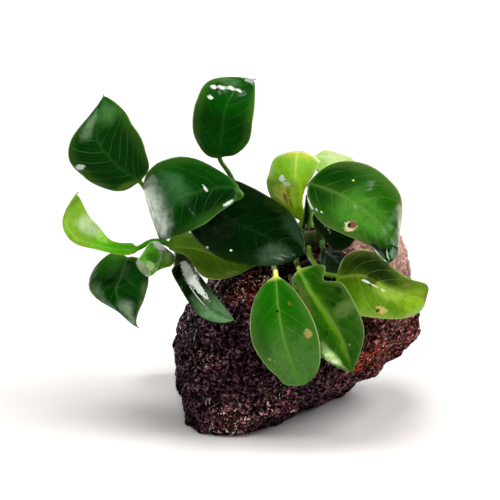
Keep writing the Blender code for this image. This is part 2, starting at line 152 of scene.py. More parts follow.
LEAVES = (
    Leaf("leaf_top_left",
         stalk=((-31, 66.3, -3), (-37.5, 78, 4), (-44, 87, 2)),
         blade=((-48, 92.6, -2), (-57, 99.3, -5), (-64.1, 109.7, -6), (-62.9, 117.3, -4), (-61.4, 126.2, 2)),
         facing=((-0.2, -0.9, 0.4),), half_width=14, base=0.29, tip=0.68,
         curl=(-0.4, -0.3), lean=0.2, bow=0.12,
         sides=((1.03, 1.06, 1.15, 0.89, 0.35), (0.52, 0.82, 1.15, 1.22, 0.85))),
    Leaf("leaf_top_middle",
         stalk=((-6, 69.5, 1.5), (-8, 83, 11), (-12.5, 95, 9)),
         blade=((-16.8, 102, 4), (-15.5, 111.3, 0), (-14.6, 119.5, -1), (-11.4, 126.5, 3), (-2.3, 132.2, 10)),
         facing=((0, -1, 0.1), (0, -1, 0.2), (0.1, -0.5, 1)), half_width=12.2, base=0.43, tip=0.64,
         fold=0.1, curl=(-0.3, -0.3), lean=0.2, bow=0.2,
         sides=((1.18, 1.13, 1.1, 1.2, 0.5), (0.62, 0.85, 0.89, 0.89, 0.76))),
    Leaf("leaf_left_broad",
         stalk=((-25, 67, -1.5), (-33, 75, -4), (-31.5, 83.5, -10), (-21, 84.5, -13),
                (-12, 85, -10.5), (-8, 86.6, -10)),
         blade=((-9.5, 88.4, -11.5), (-24.2, 87.7, -19.5), (-31.8, 85.5, -24), (-37.2, 79.2, -25),
                (-38.9, 67.9, -20)),
         facing=((-0.1, -0.8, 0.6), (-0.4, -0.8, 0.5), (-0.7, -0.7, 0.3)), half_width=17, base=0.9,
         tip=0.89, fold=0.05, curl=(-0.4, -0.4), lean=0.15,
         sides=((1.02, 0.7, 0.83, 0.74, 0.57), (1.8, 1.4, 1.16, 1.36, 1.39))),
    Leaf("leaf_centre_dark",
         stalk=((-19, 67.5, -2.5), (-24, 75, 5), (-28, 82, 4)),
         blade=((-26, 84, -2), (-15.2, 78.3, -10.5), (0, 71.3, -18), (17.2, 63.7, -23)),
         facing=((0.1, -0.6, 0.8),), half_width=18.5, base=0.37, tip=0.61,
         fold=0.05, curl=(-0.3, -0.3), lean=0.2,
         sides=((1.23, 1.12, 1.06, 1.11, 1.08), (0.78, 0.83, 0.93, 0.96, 1.06))),
    Leaf("leaf_under_olive",
         stalk=((-32.3, 64.6, -8.9), (-33.6, 65.8, -11)),
         blade=((-34.6, 66.2, -13), (-26, 66, -15), (-14, 62, -18), (-3, 59.2, -19)),
         facing=((0, -1, 0.12),), half_width=11, base=0.6, tip=0.8, fold=0.15, curl=(0, 0),
         sides=((1.4, 0.62, 0.55, 0.6, 0.6), (1.0, 0.85, 0.9, 0.85, 0.8)),
         bites=(("right", 0.1, 0.75, 0.18),)),
    Leaf("leaf_hanging_narrow",
         stalk=((-29.8, 59.6, -9.9),),
         blade=((-31.4, 60.2, -13), (-30, 55.5, -20), (-28.1, 52, -26.5), (-21, 43.5, -31.5),
                (-9.9, 38.2, -35)),
         facing=((-0.3, -0.8, 0.5),), half_width=6.8, base=0.28, tip=0.76, fold=0.3, curl=(0, 0), lean=0.5,
         sides=((0.6, 0.83, 1.04, 1.27, 1.44), (0.91, 0.57, 0.7, 1.19, 1.59))),
    Leaf("leaf_left_pale",
         stalk=((-34.2, 66.4, -3.5), (-43, 69, -4)),
         blade=((-48.9, 66.2, -6.5), (-64.5, 67.6, -12), (-73.2, 71, -13.5), (-75.9, 75, -11),
                (-71.4, 88.3, -6)),
         facing=((0, -0.5, 0.9), (0.2, -0.8, 0.6), (0.5, -0.8, 0.3)), half_width=7.5, base=0.6, tip=0.69,
         fold=0.15, curl=(0, 0),
         sides=((0.95, 0.36, 0.3, 0.35, 0.3), (1.2, 0.5, 1.2, 1.6, 1.56))),
    Leaf("leaf_left_lower",
         stalk=((-36.2, 62.6, -1.4), (-45, 60.6, 0)),
         blade=((-52.4, 61.8, -5), (-55.3, 54.2, -11), (-57, 50, -15), (-54.7, 43, -16), (-48.4, 35, -13)),
         facing=((-0.3, -0.85, 0.4),), half_width=12.4, base=0.32, tip=0.94,
         fold=0.1, curl=(-0.3, -0.3), lean=0.2, bow=0.3,
         sides=((0.66, 0.84, 1.06, 0.75, 0.3), (1.22, 1.19, 0.93, 0.5, 0.75))),
    Leaf("leaf_top_pale",
         stalk=((13, 73.3, 0.5),),
         blade=((15.6, 76.8, 2), (14, 84, -2), (13, 94, -4), (13.4, 101.9, 1), (15.2, 104.4, 12),
                (17, 101.5, 20)),
         facing=((0, -1, 0.1), (0, -0.9, 0.4), (0, 0.2, 1)), half_width=11, base=0.7,
         fold=-0.1, curl=(-0.5, -0.5),
         sides=((1.5, 1.35, 1.0, 0.85, 0.7), (0.25, 0.3, 0.75, 1.05, 1.3))),
    Leaf("leaf_behind_pale",
         stalk=((19, 74, 4), (20, 85, 9)),
         blade=((23, 96, 15), (29, 99.5, 21), (35, 102.5, 27)),
         facing=((0, -0.5, 1),), half_width=8.5, tip=0.6, curl=(0, 0)),
    Leaf("leaf_right_broad",
         stalk=((25.5, 75.3, 2.2), (25, 83, -0.5)),
         blade=((18.4, 90.8, -10), (30.2, 86.7, -17), (39.1, 80.9, -21), (46.5, 74.1, -22),
                (52.6, 65.6, -18)),
         facing=((0.2, -0.85, 0.5),), half_width=15, base=0.53, tip=0.57, fold=0.05, lean=0.15,
         sides=((1.29, 1.19, 1.11, 1.04, 0.4), (0.59, 0.96, 0.84, 0.7, 0.79))),
    Leaf("leaf_right_under",
         stalk=((22.5, 72, -3), (21.5, 76, -5)),
         blade=((21, 80.5, -7), (26.9, 74.5, -11.5), (36.3, 69.2, -13.5)),
         facing=((-0.3, -0.6, 0.7),), half_width=8, base=0.43, tip=0.4, curl=(0, 0),
         sides=(1.0, (0.68, 0.67, 0.71, 0.98, 1.3))),
    Leaf("leaf_front_middle",
         stalk=((3, 63.8, -6.8), (4.5, 59.5, -19), (5, 57, -28)),
         blade=((5.2, 55.2, -34.5), (6.4, 40.3, -42.5), (9.8, 26.1, -45.5), (16, 13.4, -44.5)),
         facing=((0, -1, 0.15),), half_width=13.4, base=0.69, tip=0.6, fold=0.1,
         sides=((0.55, 0.89, 0.98, 1.01, 1.1), (1.06, 0.99, 0.91, 0.87, 1.6)),
         bites=(("right", 0.86, 0.25, 0.1),), point=0.01),
    Leaf("leaf_front_bitten",
         stalk=((13, 66.5, -5.2), (13.5, 60, -16)),
         blade=((14.4, 57.5, -26.5), (18.8, 49.7, -35.5), (28.7, 35.1, -39.5), (35.1, 17.2, -38.5)),
         facing=((0.1, -1, 0.15),), half_width=13, base=0.52, tip=0.97, fold=0.25,
         sides=((1.07, 0.95, 0.91, 1.09, 0.96), (0.66, 0.5, 0.79, 1.34, 1.65)),
         bites=(("left", 0.2, 0.45, 0.06),)),
    Leaf("leaf_right_lower",
         stalk=((18, 66.5, -5), (20, 60.5, -16), (24, 56.5, -22)),
         blade=((29, 55.5, -25), (38.5, 55.8, -28.5), (49, 50.5, -28.5), (64.6, 46.8, -22.5)),
         facing=((0.15, -0.92, 0.38),), half_width=13, base=0.3, tip=0.37, fold=0.2,
         curl=(0.3, 0.1), lean=0.2,
         sides=((0.79, 0.85, 0.65, 0.6, 1.0), (1.6, 1.35, 1.02, 0.86, 0.77))),
    Leaf("leaf_right_inner",
         stalk=((23.5, 68.8, -4.5),),
         blade=((24, 65.5, -11), (27.6, 61.8, -17.5), (31.2, 58, -21.5), (33.3, 54, -23)),
         facing=((0, -1, 0.3),), half_width=4.8, curl=(0, 0)),
    Leaf("leaf_young_cupped",
         stalk=((15, 70.5, -4.6),),
         blade=((16.2, 74, -10.5), (17.3, 80, -12.5), (17, 87, -12)),
         facing=((0, -1, 0.3),), half_width=2.2, fold=0.9, curl=(0, 0), slim=0.65),
    Leaf("leaf_back_left",
         stalk=((-14, 69, 2.5), (-22, 78, 14)),
         blade=((-26, 86, 24), (-29, 92, 34), (-32, 95, 44)),
         facing=((-0.2, 0.2, 1), (-0.2, 0.5, 0.9)), half_width=11),
    Leaf("leaf_back_right",
         stalk=((28, 77, 7), (28, 82, 14)),
         blade=((30, 88, 24), (34, 91, 34), (38, 90, 46)),
         facing=((0.2, 0.2, 1), (0.2, 0.6, 0.8)), half_width=11),
)

RHIZOME = dict(points=((-34.5, 62, -6), (-20, 62.5, -4), (0, 66, -2), (20, 70, 0), (32, 73.5, 4)),
               radii=(3.0, 3.6, 3.7, 3.4, 2.6))

# The sheath on the growing tip: a short tube that opens towards its end, with a lobe standing up from it
SHOOT = dict(points=((-36.4, 62, -7.2), (-40.5, 61.8, -11.5), (-46.3, 58.4, -17)), radii=(2.8, 3.9, 3.8))
LOBE_PLACE = 0.55
LOBE_LENGTH = 0.3
LOBE_HEIGHT = 1.25
LOBE_WIDTH = 0.5

# Roots: horizontal heading in degrees (0 is +X), height angle at start and end, sideways wander, all seen
# from STONE_CENTRE
ROOTS = (
    ("root_back_left", 128, 62, 18, 10),
    ("root_back_middle", 95, 58, 5, -12),
    ("root_back_right", 62, 58, 22, 9),
    ("root_left", 176, 50, 25, -8),
    ("root_front", 262, 52, 33, 7),
)


@dataclass
class Look:
    """The finish of one leaf.

    kind: which of the four leaf colours; depth: brightness of its colours.
    veins: side veins on each half; arch: how far the left and right ones run on towards the tip, as a share
    of the blade; relief, rib: how strongly they and the midrib are lighter than the blade.
    clouds: share of lighter, uneven green; edge: how far the margin turns to the rim's colour.
    quilt: height in mm to which the blade swells between its side veins.
    waves: height in mm of the left and right margin's waves, their number and their start.
    rough: roughness of the wet surface; stalk: colour of the stalk.
    patches: (place along, place aside, length, width, colour, share) of areas with soft borders, painted
    sheen and painted shade among them; spots: the same with ragged borders, for marks, decay and painted
    highlights.
    Colours are given as seen on a screen, 0 to 255; tint() turns them into light.
    """

    kind: str = "dark"
    depth: float = 1.0
    veins: int = 9
    arch: tuple = (0.3, 0.3)
    relief: float = 0.3
    rib: float = 0.3
    clouds: float = 0.4
    edge: float = 0.15
    quilt: float = 0.05
    waves: tuple = (0.5, 0.5, 2.0, 0.0)
    rough: float = 0.2
    stalk: tuple = (70, 120, 25)
    patches: tuple = ()
    spots: tuple = ()


# white of the painted highlights and glints on the wet leaves
PAINTED_HIGHLIGHT = (225, 232, 220)
TAN = (176, 160, 84)
BROWN = (120, 84, 40)
RED_BROWN = (116, 66, 48)
BLACK = (8, 12, 6)
CREAM = (214, 208, 160)

LOOKS = {
    "leaf_top_left": Look(
        arch=(0.15, 0.5), relief=0.4, rib=0.12, clouds=0.3, edge=0.22, quilt=0.06, waves=(0.3, 0.2, 1.5, 0.3),
        # the first two patches are painted sheen
        patches=((0.72, -0.4, 0.13, 0.32, (130, 164, 122), 0.7), (0.8, 0.3, 0.14, 0.5, (84, 136, 72), 0.65),
                 (0.01, -0.6, 0.06, 0.6, (110, 140, 40), 0.6)),
        # the white spot is a painted highlight
        spots=((0.39, -0.82, 0.03, 0.15, PAINTED_HIGHLIGHT, 0.8),)),
    "leaf_top_middle": Look(
        depth=1.2, veins=8, relief=0.13, rib=0.08, edge=0.22, quilt=0.04, waves=(0.3, 0.4, 1.5, 0.0),
        patches=((0.8, -0.5, 0.07, 0.6, (84, 126, 76), 0.6), (0.15, 0.1, 0.2, 1.0, (8, 84, 4), 0.8),
                 (0.42, 0.0, 0.24, 0.8, (2, 70, 0), 0.7)),
        # the white spots and the three thin pale ones are painted highlights along the bend; the pale spot at
        # the tip is the underside with a painted sheen on it
        spots=((0.575, -0.6, 0.02, 0.1, PAINTED_HIGHLIGHT, 0.9), (0.95, 0.0, 0.06, 0.8, (168, 182, 164), 0.75),
               (0.675, -0.68, 0.022, 0.12, PAINTED_HIGHLIGHT, 0.95), (0.7, -0.46, 0.02, 0.15, PAINTED_HIGHLIGHT, 0.95),
               (0.74, -0.18, 0.022, 0.16, PAINTED_HIGHLIGHT, 0.95), (0.757, 0.12, 0.018, 0.15, PAINTED_HIGHLIGHT, 0.95),
               (0.687, -0.57, 0.012, 0.12, (176, 194, 170), 0.8),
               (0.72, -0.32, 0.012, 0.14, (176, 194, 170), 0.8),
               (0.75, -0.03, 0.012, 0.12, (176, 194, 170), 0.8))),
    "leaf_left_broad": Look(
        depth=0.9, veins=8, relief=0.17, rib=0.08, quilt=0.08, rough=0.25, waves=(0.4, 0.4, 2.0, 0.4),
        # all but the first patch are painted sheen
        patches=((0.3, -0.3, 0.32, 0.65, (1, 26, 2), 0.9), (0.52, 0.25, 0.14, 0.5, (60, 108, 62), 0.6),
                 (0.76, 0.3, 0.12, 0.8, (186, 202, 180), 0.85),
                 (0.84, -0.1, 0.08, 0.6, (206, 216, 202), 0.85)),
        # both spots are painted highlights
        spots=((0.285, 0.04, 0.012, 0.1, PAINTED_HIGHLIGHT, 0.7), (0.17, -0.85, 0.06, 0.09, PAINTED_HIGHLIGHT, 0.8))),
    "leaf_centre_dark": Look(
        depth=0.2, veins=8, rib=0.15, waves=(0.3, 0.3, 1.6, 0.2),
        # both patches are painted sheen near the margins
        patches=((0.84, -0.75, 0.16, 0.4, (44, 74, 48), 0.8), (0.8, 0.5, 0.12, 0.5, (58, 84, 56), 0.8)),
        # both spots are painted highlights
        spots=((0.315, 0.95, 0.012, 0.03, PAINTED_HIGHLIGHT, 0.9), (0.487, 0.72, 0.012, 0.03, PAINTED_HIGHLIGHT, 0.9))),
    "leaf_under_olive": Look(
        kind="olive", depth=1.5, rough=0.22, waves=(0.2, 0.2, 1.0, 0.0),
        patches=((0.75, 0.72, 0.09, 0.14, (150, 168, 92), 0.7),)),
    "leaf_hanging_narrow": Look(
        depth=0.2, veins=6, relief=0.15, rib=0.15, clouds=0.1, waves=(0.2, 0.2, 1.0, 0.0),
        # the patch is painted sheen over the lower part of the blade
        patches=((0.86, 0.0, 0.33, 1.6, (104, 148, 98), 0.9),),
        # the spots are painted highlights: white streaks
        spots=((0.2, -0.36, 0.28, 0.5, (248, 252, 246), 1.0), (0.42, -0.42, 0.22, 0.26, (240, 248, 238), 1.0),
               (0.5, 0.05, 0.18, 0.06, (210, 224, 206), 0.9))),
    "leaf_left_pale": Look(
        kind="pale", depth=0.9, veins=6, waves=(0.3, 0.3, 1.4, 0.0), stalk=(70, 165, 2),
        # the first patch is a painted sheen on the pale inside of the fold
        patches=((0.52, 0.7, 0.17, 0.4, (196, 218, 172), 0.8), (0.2, 0.0, 0.24, 1.0, (76, 196, 0), 0.95),
                 (0.36, 0.7, 0.08, 0.4, (180, 240, 90), 0.6))),
    "leaf_left_lower": Look(
        veins=8, rib=0.25, quilt=0.07, waves=(0.4, 0.4, 1.6, 0.2),
        # the first two patches are painted sheen towards the tip
        patches=((0.68, -0.15, 0.14, 0.5, (150, 180, 142), 0.8), (0.88, 0.0, 0.12, 0.9, (140, 170, 132), 0.7),
                 (0.1, 0.4, 0.14, 0.6, (36, 104, 12), 0.7), (0.33, 0.1, 0.14, 0.5, (2, 34, 2), 0.7),
                 (0.5, 0.8, 0.25, 0.3, (110, 140, 104), 0.6), (0.45, -0.95, 0.4, 0.16, (88, 108, 76), 0.6))),
    "leaf_top_pale": Look(
        kind="pale", veins=6, relief=0.15, rib=0.8, rough=0.3, waves=(0.5, 0.5, 1.6, 0.1),
        stalk=(120, 165, 30),
        patches=((0.2, 0.2, 0.24, 0.9, (196, 255, 0), 1.0), (0.72, 0.2, 0.16, 0.9, (204, 196, 50), 0.85),
                 (0.25, -0.45, 0.1, 0.34, (214, 222, 96), 0.85)),
        # the two white spots are painted highlights
        spots=((0.4, -0.45, 0.035, 0.12, PAINTED_HIGHLIGHT, 0.9), (0.36, -0.3, 0.02, 0.12, PAINTED_HIGHLIGHT, 0.8),
               (0.285, -0.26, 0.05, 0.07, (150, 116, 56), 0.6), (0.227, -0.4, 0.05, 0.07, BROWN, 0.7),
               (0.19, -0.26, 0.04, 0.06, RED_BROWN, 0.6))),
    "leaf_behind_pale": Look(
        kind="pale", depth=1.25, veins=6, relief=0.6, rib=0.6, stalk=(130, 170, 60),
        patches=((0.5, 0.0, 0.8, 1.5, (196, 208, 156), 0.85), (0.1, 0.0, 0.34, 1.2, (116, 168, 52), 0.8))),
    "leaf_right_broad": Look(
        kind="full", depth=0.6, veins=7, arch=(0.35, 0.25), rib=0.36, clouds=0.2, quilt=0.07, rough=0.22,
        waves=(0.3, 0.3, 1.8, 0.0),
        patches=((0.5, 0.15, 0.4, 0.6, (86, 152, 48), 0.7), (0.13, -0.1, 0.24, 1.0, (2, 50, 0), 0.92),
                 # the last patch is the pale edge of the margin with a painted sheen on it
                 (0.85, -0.8, 0.12, 0.26, (212, 194, 176), 0.75)),
        spots=((0.505, 0.68, 0.05, 0.2, CREAM, 0.9), (0.51, 0.61, 0.035, 0.13, (116, 58, 52), 0.95),
               (0.49, 0.66, 0.014, 0.08, BLACK, 0.95), (0.305, -0.47, 0.01, 0.03, (230, 220, 90), 0.9),
               # the white spots are painted: a sheen on the left margin and glints of water drops
               (0.12, 0.93, 0.07, 0.07, PAINTED_HIGHLIGHT, 0.8), (0.2, 0.83, 0.015, 0.03, PAINTED_HIGHLIGHT, 0.8),
               (0.24, 0.76, 0.012, 0.03, PAINTED_HIGHLIGHT, 0.8))),
    "leaf_right_under": Look(
        depth=0.5, veins=6, relief=0.2, rib=0.1,
        # all three spots are a painted highlight
        spots=((0.44, 0.32, 0.035, 0.08, (196, 208, 196), 0.8), (0.5, 0.4, 0.02, 0.12, (150, 172, 150), 0.6),
               (0.36, 0.36, 0.012, 0.05, PAINTED_HIGHLIGHT, 0.8))),
    "leaf_front_middle": Look(
        kind="full", depth=0.85, veins=7, relief=0.2, rib=0.5, clouds=0.15, quilt=0.03, edge=0.1, rough=0.22,
        waves=(0.2, 0.2, 1.4, 0.0), stalk=(255, 255, 110),
        patches=((0.85, 0.1, 0.4, 1.2, (86, 134, 58), 0.85), (0.5, 0.75, 0.2, 0.3, (30, 80, 22), 0.6),
                 (0.2, 0.0, 0.24, 0.7, (10, 100, 0), 0.92)),
        spots=((0.295, 0.04, 0.014, 0.05, BLACK, 0.95), (0.255, -0.47, 0.02, 0.07, (150, 110, 40), 0.5),
               (0.54, -0.72, 0.045, 0.13, TAN, 0.8), (0.67, 0.72, 0.015, 0.06, TAN, 0.6),
               (0.7, 0.6, 0.008, 0.04, TAN, 0.6))),
    "leaf_front_bitten": Look(
        kind="full", depth=0.62, veins=7, rib=0.9, clouds=0.5, rough=0.22, waves=(0.4, 0.4, 2.0, 0.0),
        stalk=(150, 185, 60),
        patches=((0.45, 0.05, 0.5, 0.2, (120, 168, 20), 0.6), (0.28, -0.6, 0.25, 0.35, (34, 72, 4), 0.8),
                 # the second patch on this line is painted sheen
                 (0.22, 0.65, 0.2, 0.35, (84, 92, 38), 0.7), (0.47, -0.55, 0.06, 0.5, (124, 152, 76), 0.5),
                 # the last patch is a painted highlight along the lower margin
                 (0.64, 0.35, 0.08, 0.3, (36, 88, 2), 0.8), (0.77, 0.72, 0.13, 0.23, (214, 250, 156), 0.95)),
        spots=((0.17, 0.8, 0.012, 0.05, BLACK, 0.8), (0.11, 0.75, 0.012, 0.05, BLACK, 0.8),
               (0.35, 0.6, 0.01, 0.05, BROWN, 0.8), (0.3, 0.85, 0.04, 0.1, (96, 74, 40), 0.6),
               (0.57, 0.45, 0.02, 0.08, (20, 50, 4), 0.7), (0.4, -0.35, 0.02, 0.08, (20, 50, 4), 0.7),
               (0.33, -0.75, 0.03, 0.12, (16, 34, 4), 0.7), (0.74, -0.25, 0.014, 0.05, TAN, 0.7),
               # the two pale spots on this line are painted highlights
               (0.73, 0.8, 0.02, 0.1, (224, 240, 200), 0.8), (0.81, 0.76, 0.024, 0.12, PAINTED_HIGHLIGHT, 0.95))),
    "leaf_right_lower": Look(
        kind="olive", depth=1.3, veins=7, relief=0.25, rib=0.4, clouds=0.6, rough=0.22,
        waves=(0.3, 0.5, 1.6, 0.0), stalk=(110, 150, 40),
        # the first patch is painted shade over the cupped upper half
        patches=((0.32, -0.46, 0.37, 0.86, (20, 48, 4), 0.97), (0.13, 0.35, 0.18, 0.8, (50, 88, 3), 0.85),
                 (0.6, 0.1, 0.25, 0.3, (168, 204, 76), 0.7), (0.9, 0.1, 0.25, 0.9, (140, 180, 30), 0.8),
                 (0.2, 0.5, 0.2, 0.4, (86, 130, 10), 0.7)),
        spots=((0.51, 0.73, 0.06, 0.13, TAN, 0.85), (0.476, 0.77, 0.02, 0.06, BLACK, 0.9),
               (0.97, 0.0, 0.05, 0.6, BROWN, 0.7), (0.71, -0.6, 0.05, 0.1, (170, 120, 90), 0.5),
               # the second spot on this line is painted shade reaching the midrib
               (0.074, -0.26, 0.02, 0.08, BROWN, 0.8), (0.36, -0.04, 0.06, 0.24, (26, 56, 2), 0.7),
               # the white and cream spots from here on are a painted highlight along the midrib
               (0.3, 0.12, 0.05, 0.035, PAINTED_HIGHLIGHT, 0.9), (0.4, 0.13, 0.05, 0.025, CREAM, 0.9),
               (0.49, 0.13, 0.03, 0.04, CREAM, 0.9))),
    "leaf_right_inner": Look(
        depth=0.6, veins=5, relief=0.25, rib=0.1, rough=0.3, waves=(0.2, 0.2, 1.0, 0.0),
        # the first patch is painted sheen
        patches=((0.5, 0.2, 0.35, 0.8, (44, 70, 44), 0.6), (0.4, -0.85, 0.16, 0.14, (120, 150, 112), 0.7))),
    "leaf_young_cupped": Look(
        depth=0.7, veins=3, relief=0.2, edge=0.6, quilt=0.0, waves=(0.0, 0.0, 1.0, 0.0),
        patches=((0.14, 0.5, 0.08, 0.3, (176, 200, 92), 0.7),)),
    "leaf_back_left": Look(kind="full", depth=0.8, veins=7),
    "leaf_back_right": Look(kind="full", depth=0.9, veins=7),
}

# Rolled tip of the broad right leaf: points of the margin it hangs from, radius in mm and angles of its roll
CURL_MARGIN = ((41.8, -25.5, 82.2), (44.3, -24.6, 80.7), (46.7, -23.2, 79.3), (49.1, -21.8, 78.6),
               (51.6, -20.2, 79.0))
CURL_RADIUS = 5.6
CURL_ANGLES = (1.5, 2.7)
CURL_HALF_THICKNESS = 0.22
CURL_LOOK = Look(
    depth=0.25, relief=0.0, rib=0.0, clouds=0.3, edge=0.0, rough=0.15,
    # all spots are painted: white crescents of highlight and grey-green sheen on the wet roll
    spots=((0.3, 0.45, 0.08, 0.12, (170, 184, 170), 0.8), (0.36, 0.86, 0.12, 0.1, PAINTED_HIGHLIGHT, 0.95),
           (0.46, 0.74, 0.035, 0.2, PAINTED_HIGHLIGHT, 0.95), (0.58, 0.3, 0.025, 0.3, (150, 176, 150), 0.9),
           (0.72, 0.5, 0.09, 0.5, (110, 146, 116), 0.9)))

# Colours of each kind of leaf: clouds, veins, rim and underside go with the main colour set in the panel
KINDS = {
    "dark": dict(light=(9, 78, 6), vein=(88, 138, 62), rim=(104, 150, 52),
                 under=(64, 98, 50)),
    "full": dict(light=(84, 148, 18), vein=(126, 172, 78), rim=(176, 196, 112),
                 under=(120, 158, 90)),
    "pale": dict(light=(158, 196, 78), vein=(176, 206, 88), rim=(196, 206, 84),
                 under=(158, 190, 104)),
    "olive": dict(light=(102, 134, 28), vein=(150, 164, 70), rim=(160, 172, 92),
                  under=(128, 146, 72)),
}


# ---- shapes shared with the solids


def unit(v):
    """The vectors at length 1."""
    return v / np.maximum(np.linalg.norm(v, axis=-1, keepdims=True), 1e-9)


def bell(x, width):
    """Bell curve: 1 where x is 0, fading over the width."""
    return np.exp(-((x / width) ** 2))


def turns(count):
    """That many angles, evenly round a circle."""
    return np.arange(count) * 2 * math.pi / count


def place(points):
    """World coordinates, millimetres, of (across, up, back) points."""
    across, up, back = np.asarray(points, float).T
    return np.stack([across, back, (up - back * math.sin(VIEW_TILT)) / math.cos(VIEW_TILT)], -1)


def knots(points):
    """Share of the way along at each point."""
    steps = np.linalg.norm(np.diff(points, axis=0), axis=1)
    return np.concatenate([[0], np.cumsum(steps)]) / steps.sum()


def smooth(values, at, s):
    """Cubic curve through the values set at `at`, read at s."""
    values = np.asarray(values, float)
    if len(values) == 1:
        return np.repeat(values, len(s), 0)
    slope = np.gradient(values, at, axis=0, edge_order=2 if len(values) > 2 else 1)
    i = np.clip(np.searchsorted(at, s, side="right") - 1, 0, len(at) - 2)
    h = (at[i + 1] - at[i])[:, None]
    x = (s - at[i])[:, None] / h
    return (
        (2 * x**3 - 3 * x**2 + 1) * values[i] + (x**3 - 2 * x**2 + x) * h * slope[i]
        + (3 * x**2 - 2 * x**3) * values[i + 1] + (x**3 - x**2) * h * slope[i + 1]
    )


def spread(values, s):
    """Values spread evenly from 0 to 1, read at s."""
    values = np.asarray(values, float)
    values = values.reshape(len(values), -1)
    return smooth(values, np.linspace(0, 1, len(values)), s)


def heading(points, at, s):
    """Direction of the curve through the points, from one point just before s to one just after."""
    step = 1e-3
    ahead = smooth(points, at, np.clip(s + step, 0, 1))
    return unit(ahead - smooth(points, at, np.clip(s - step, 0, 1)))


def blade_widths(leaf, s):
    """Widths of the left and right half at s: a power curve from base to tip, less the bites."""
    e = np.clip(s / (1 - leaf.point), 0, 1)
    widest = leaf.base / (leaf.base + leaf.tip)
    share = (e / widest) ** leaf.base * ((1 - e) / (1 - widest)) ** leaf.tip
    left, right = (leaf.half_width * share * spread(np.atleast_1d(side), s)[:, 0] for side in leaf.sides)
    for side, where, depth, length in leaf.bites:
        cut = 1 - depth * bell(s - where, length)
        left, right = (left * cut, right) if side == "left" else (left, right * cut)
    return left, right


def blade_frames(leaf, path, at, joint, s):
    """Midrib points, sideways directions and facing directions at s along the blade."""
    k = joint + s * (1 - joint)
    along = heading(path, at, k)
    ends = place((leaf.blade[0], leaf.blade[-1]))
    chord = unit(ends[1] - ends[0])
    lean = (leaf.lean + (1 - leaf.lean) * np.exp(-s / MARGIN_FADE))[:, None]
    side = unit(np.cross(lean * along + (1 - lean) * chord, unit(spread(leaf.facing, s))))
    return smooth(path, at, k), side, unit(np.cross(side, along))


def stalk_frames(path, at, joint, s, first_side):
    """The same for the stalk, with the sideways direction carried back from the blade's base."""
    along = heading(path, at, joint * s)
    sides = []
    for direction in along[::-1]:
        first_side = unit(first_side - (first_side @ direction) * direction)
        sides.append(first_side)
    side = np.array(sides[::-1])
    return smooth(path, at, joint * s), side, np.cross(side, along)


def lumps(points):
    """Uneven surface of the stone: long waves, ridges where shorter ones cross zero, and rounded knobs."""
    x, y, z = points.T
    long = np.sin(0.19 * x + 0.11 * z + 0.7) * np.cos(0.17 * y - 0.13 * z + 1.9)
    short = np.sin(0.37 * x - 0.29 * y + 2.1) + np.sin(0.33 * y + 0.41 * z + 0.4)
    ridge = 1 - np.abs(short + 0.6 * np.sin(0.45 * z - 0.31 * x))
    knob = np.sin(0.52 * x + 0.9) * np.sin(0.49 * y + 0.2 * x + 2.2) + np.sin(0.5 * z + 0.17 * x + 0.5)
    return STONE_LUMP * long + STONE_RIDGE * ridge + STONE_KNOB * knob


def bare_radius(directions):
    """Distance from STONE_CENTRE to the lumpy surface, before the foot is cut flat."""
    total = np.zeros(len(directions))
    for normal, distance in STONE_FACES:
        share = directions @ unit(np.array(normal)) / distance
        total += np.maximum(share, 0) ** STONE_SHARPNESS
    radius = total ** (-1 / STONE_SHARPNESS)
    return radius + lumps(STONE_CENTRE + radius[:, None] * directions)


def cut_foot(directions, radius):
    """The radius, kept above z = 0."""
    down = np.maximum(-directions[:, 2], 1e-6)
    return np.minimum(radius, STONE_CENTRE[2] / down)


def root_points(turn, start, end, wander):
    """A root that follows the stone's surface, lifted clear of it."""
    s = np.linspace(0, 1, 12)
    azimuth = np.radians(turn + wander * np.sin(2.2 * math.pi * s) * s)
    height = np.radians(start + (end - start) * s)
    directions = np.stack([np.cos(azimuth) * np.cos(height), np.sin(azimuth) * np.cos(height),
                           np.sin(height)], -1)
    return STONE_CENTRE + (cut_foot(directions, bare_radius(directions)) + ROOT_LIFT)[:, None] * directions


# ---- natural unevenness


def hashed(cell, salt):
    """A number from 0 to 1 for each whole-number place, the same each time."""
    n = cell[..., 0] * 73856093 ^ cell[..., 1] * 19349663 ^ cell[..., 2] * 83492791 ^ salt * 1640531513
    n = (n ^ (n >> 13)) * 1274126177 & 0x7FFFFFFF
    n = (n ^ (n >> 15)) * 668265263 & 0x7FFFFFFF
    return ((n ^ (n >> 12)) & 0xFFFFF) / 0xFFFFF


def grain(points, size, salt=0):
    """Smooth noise, 0 to 1: hashed values at the corners of cubes of that size, blended between them."""
    scaled = points / size
    cell = np.floor(scaled).astype(np.int64)
    part = scaled - cell
    part = part * part * (3 - 2 * part)
    total = 0.0
    for corner in np.ndindex(2, 2, 2):
        share = np.prod(np.where(corner, part, 1 - part), axis=-1)
        total = total + share * hashed(cell + np.array(corner), salt)
    return total


def pores(points, size, salt=0):
    """Distances to the nearest and second nearest of points scattered one to each cube of that size,
    as shares of the size."""
    scaled = points / size
    cell = np.floor(scaled).astype(np.int64)
    first = np.full(points.shape[:-1], 9.0)
    second = first.copy()
    for step in np.ndindex(3, 3, 3):
        near = cell + np.array(step) - 1
        spot = near + np.stack([hashed(near, salt + k) for k in (1, 2, 3)], -1)
        gap = np.linalg.norm(spot - scaled, axis=-1)
        second = np.minimum(second, np.maximum(first, gap))
        first = np.minimum(first, gap)
    return first, second


def rise_between(x, low, high):
    """0 below low, 1 above high, and a smooth step between; high may be the lower of the two."""
    y = np.clip((x - low) / (high - low), 0, 1)
    return y * y * (3 - 2 * y)


# ---- meshes


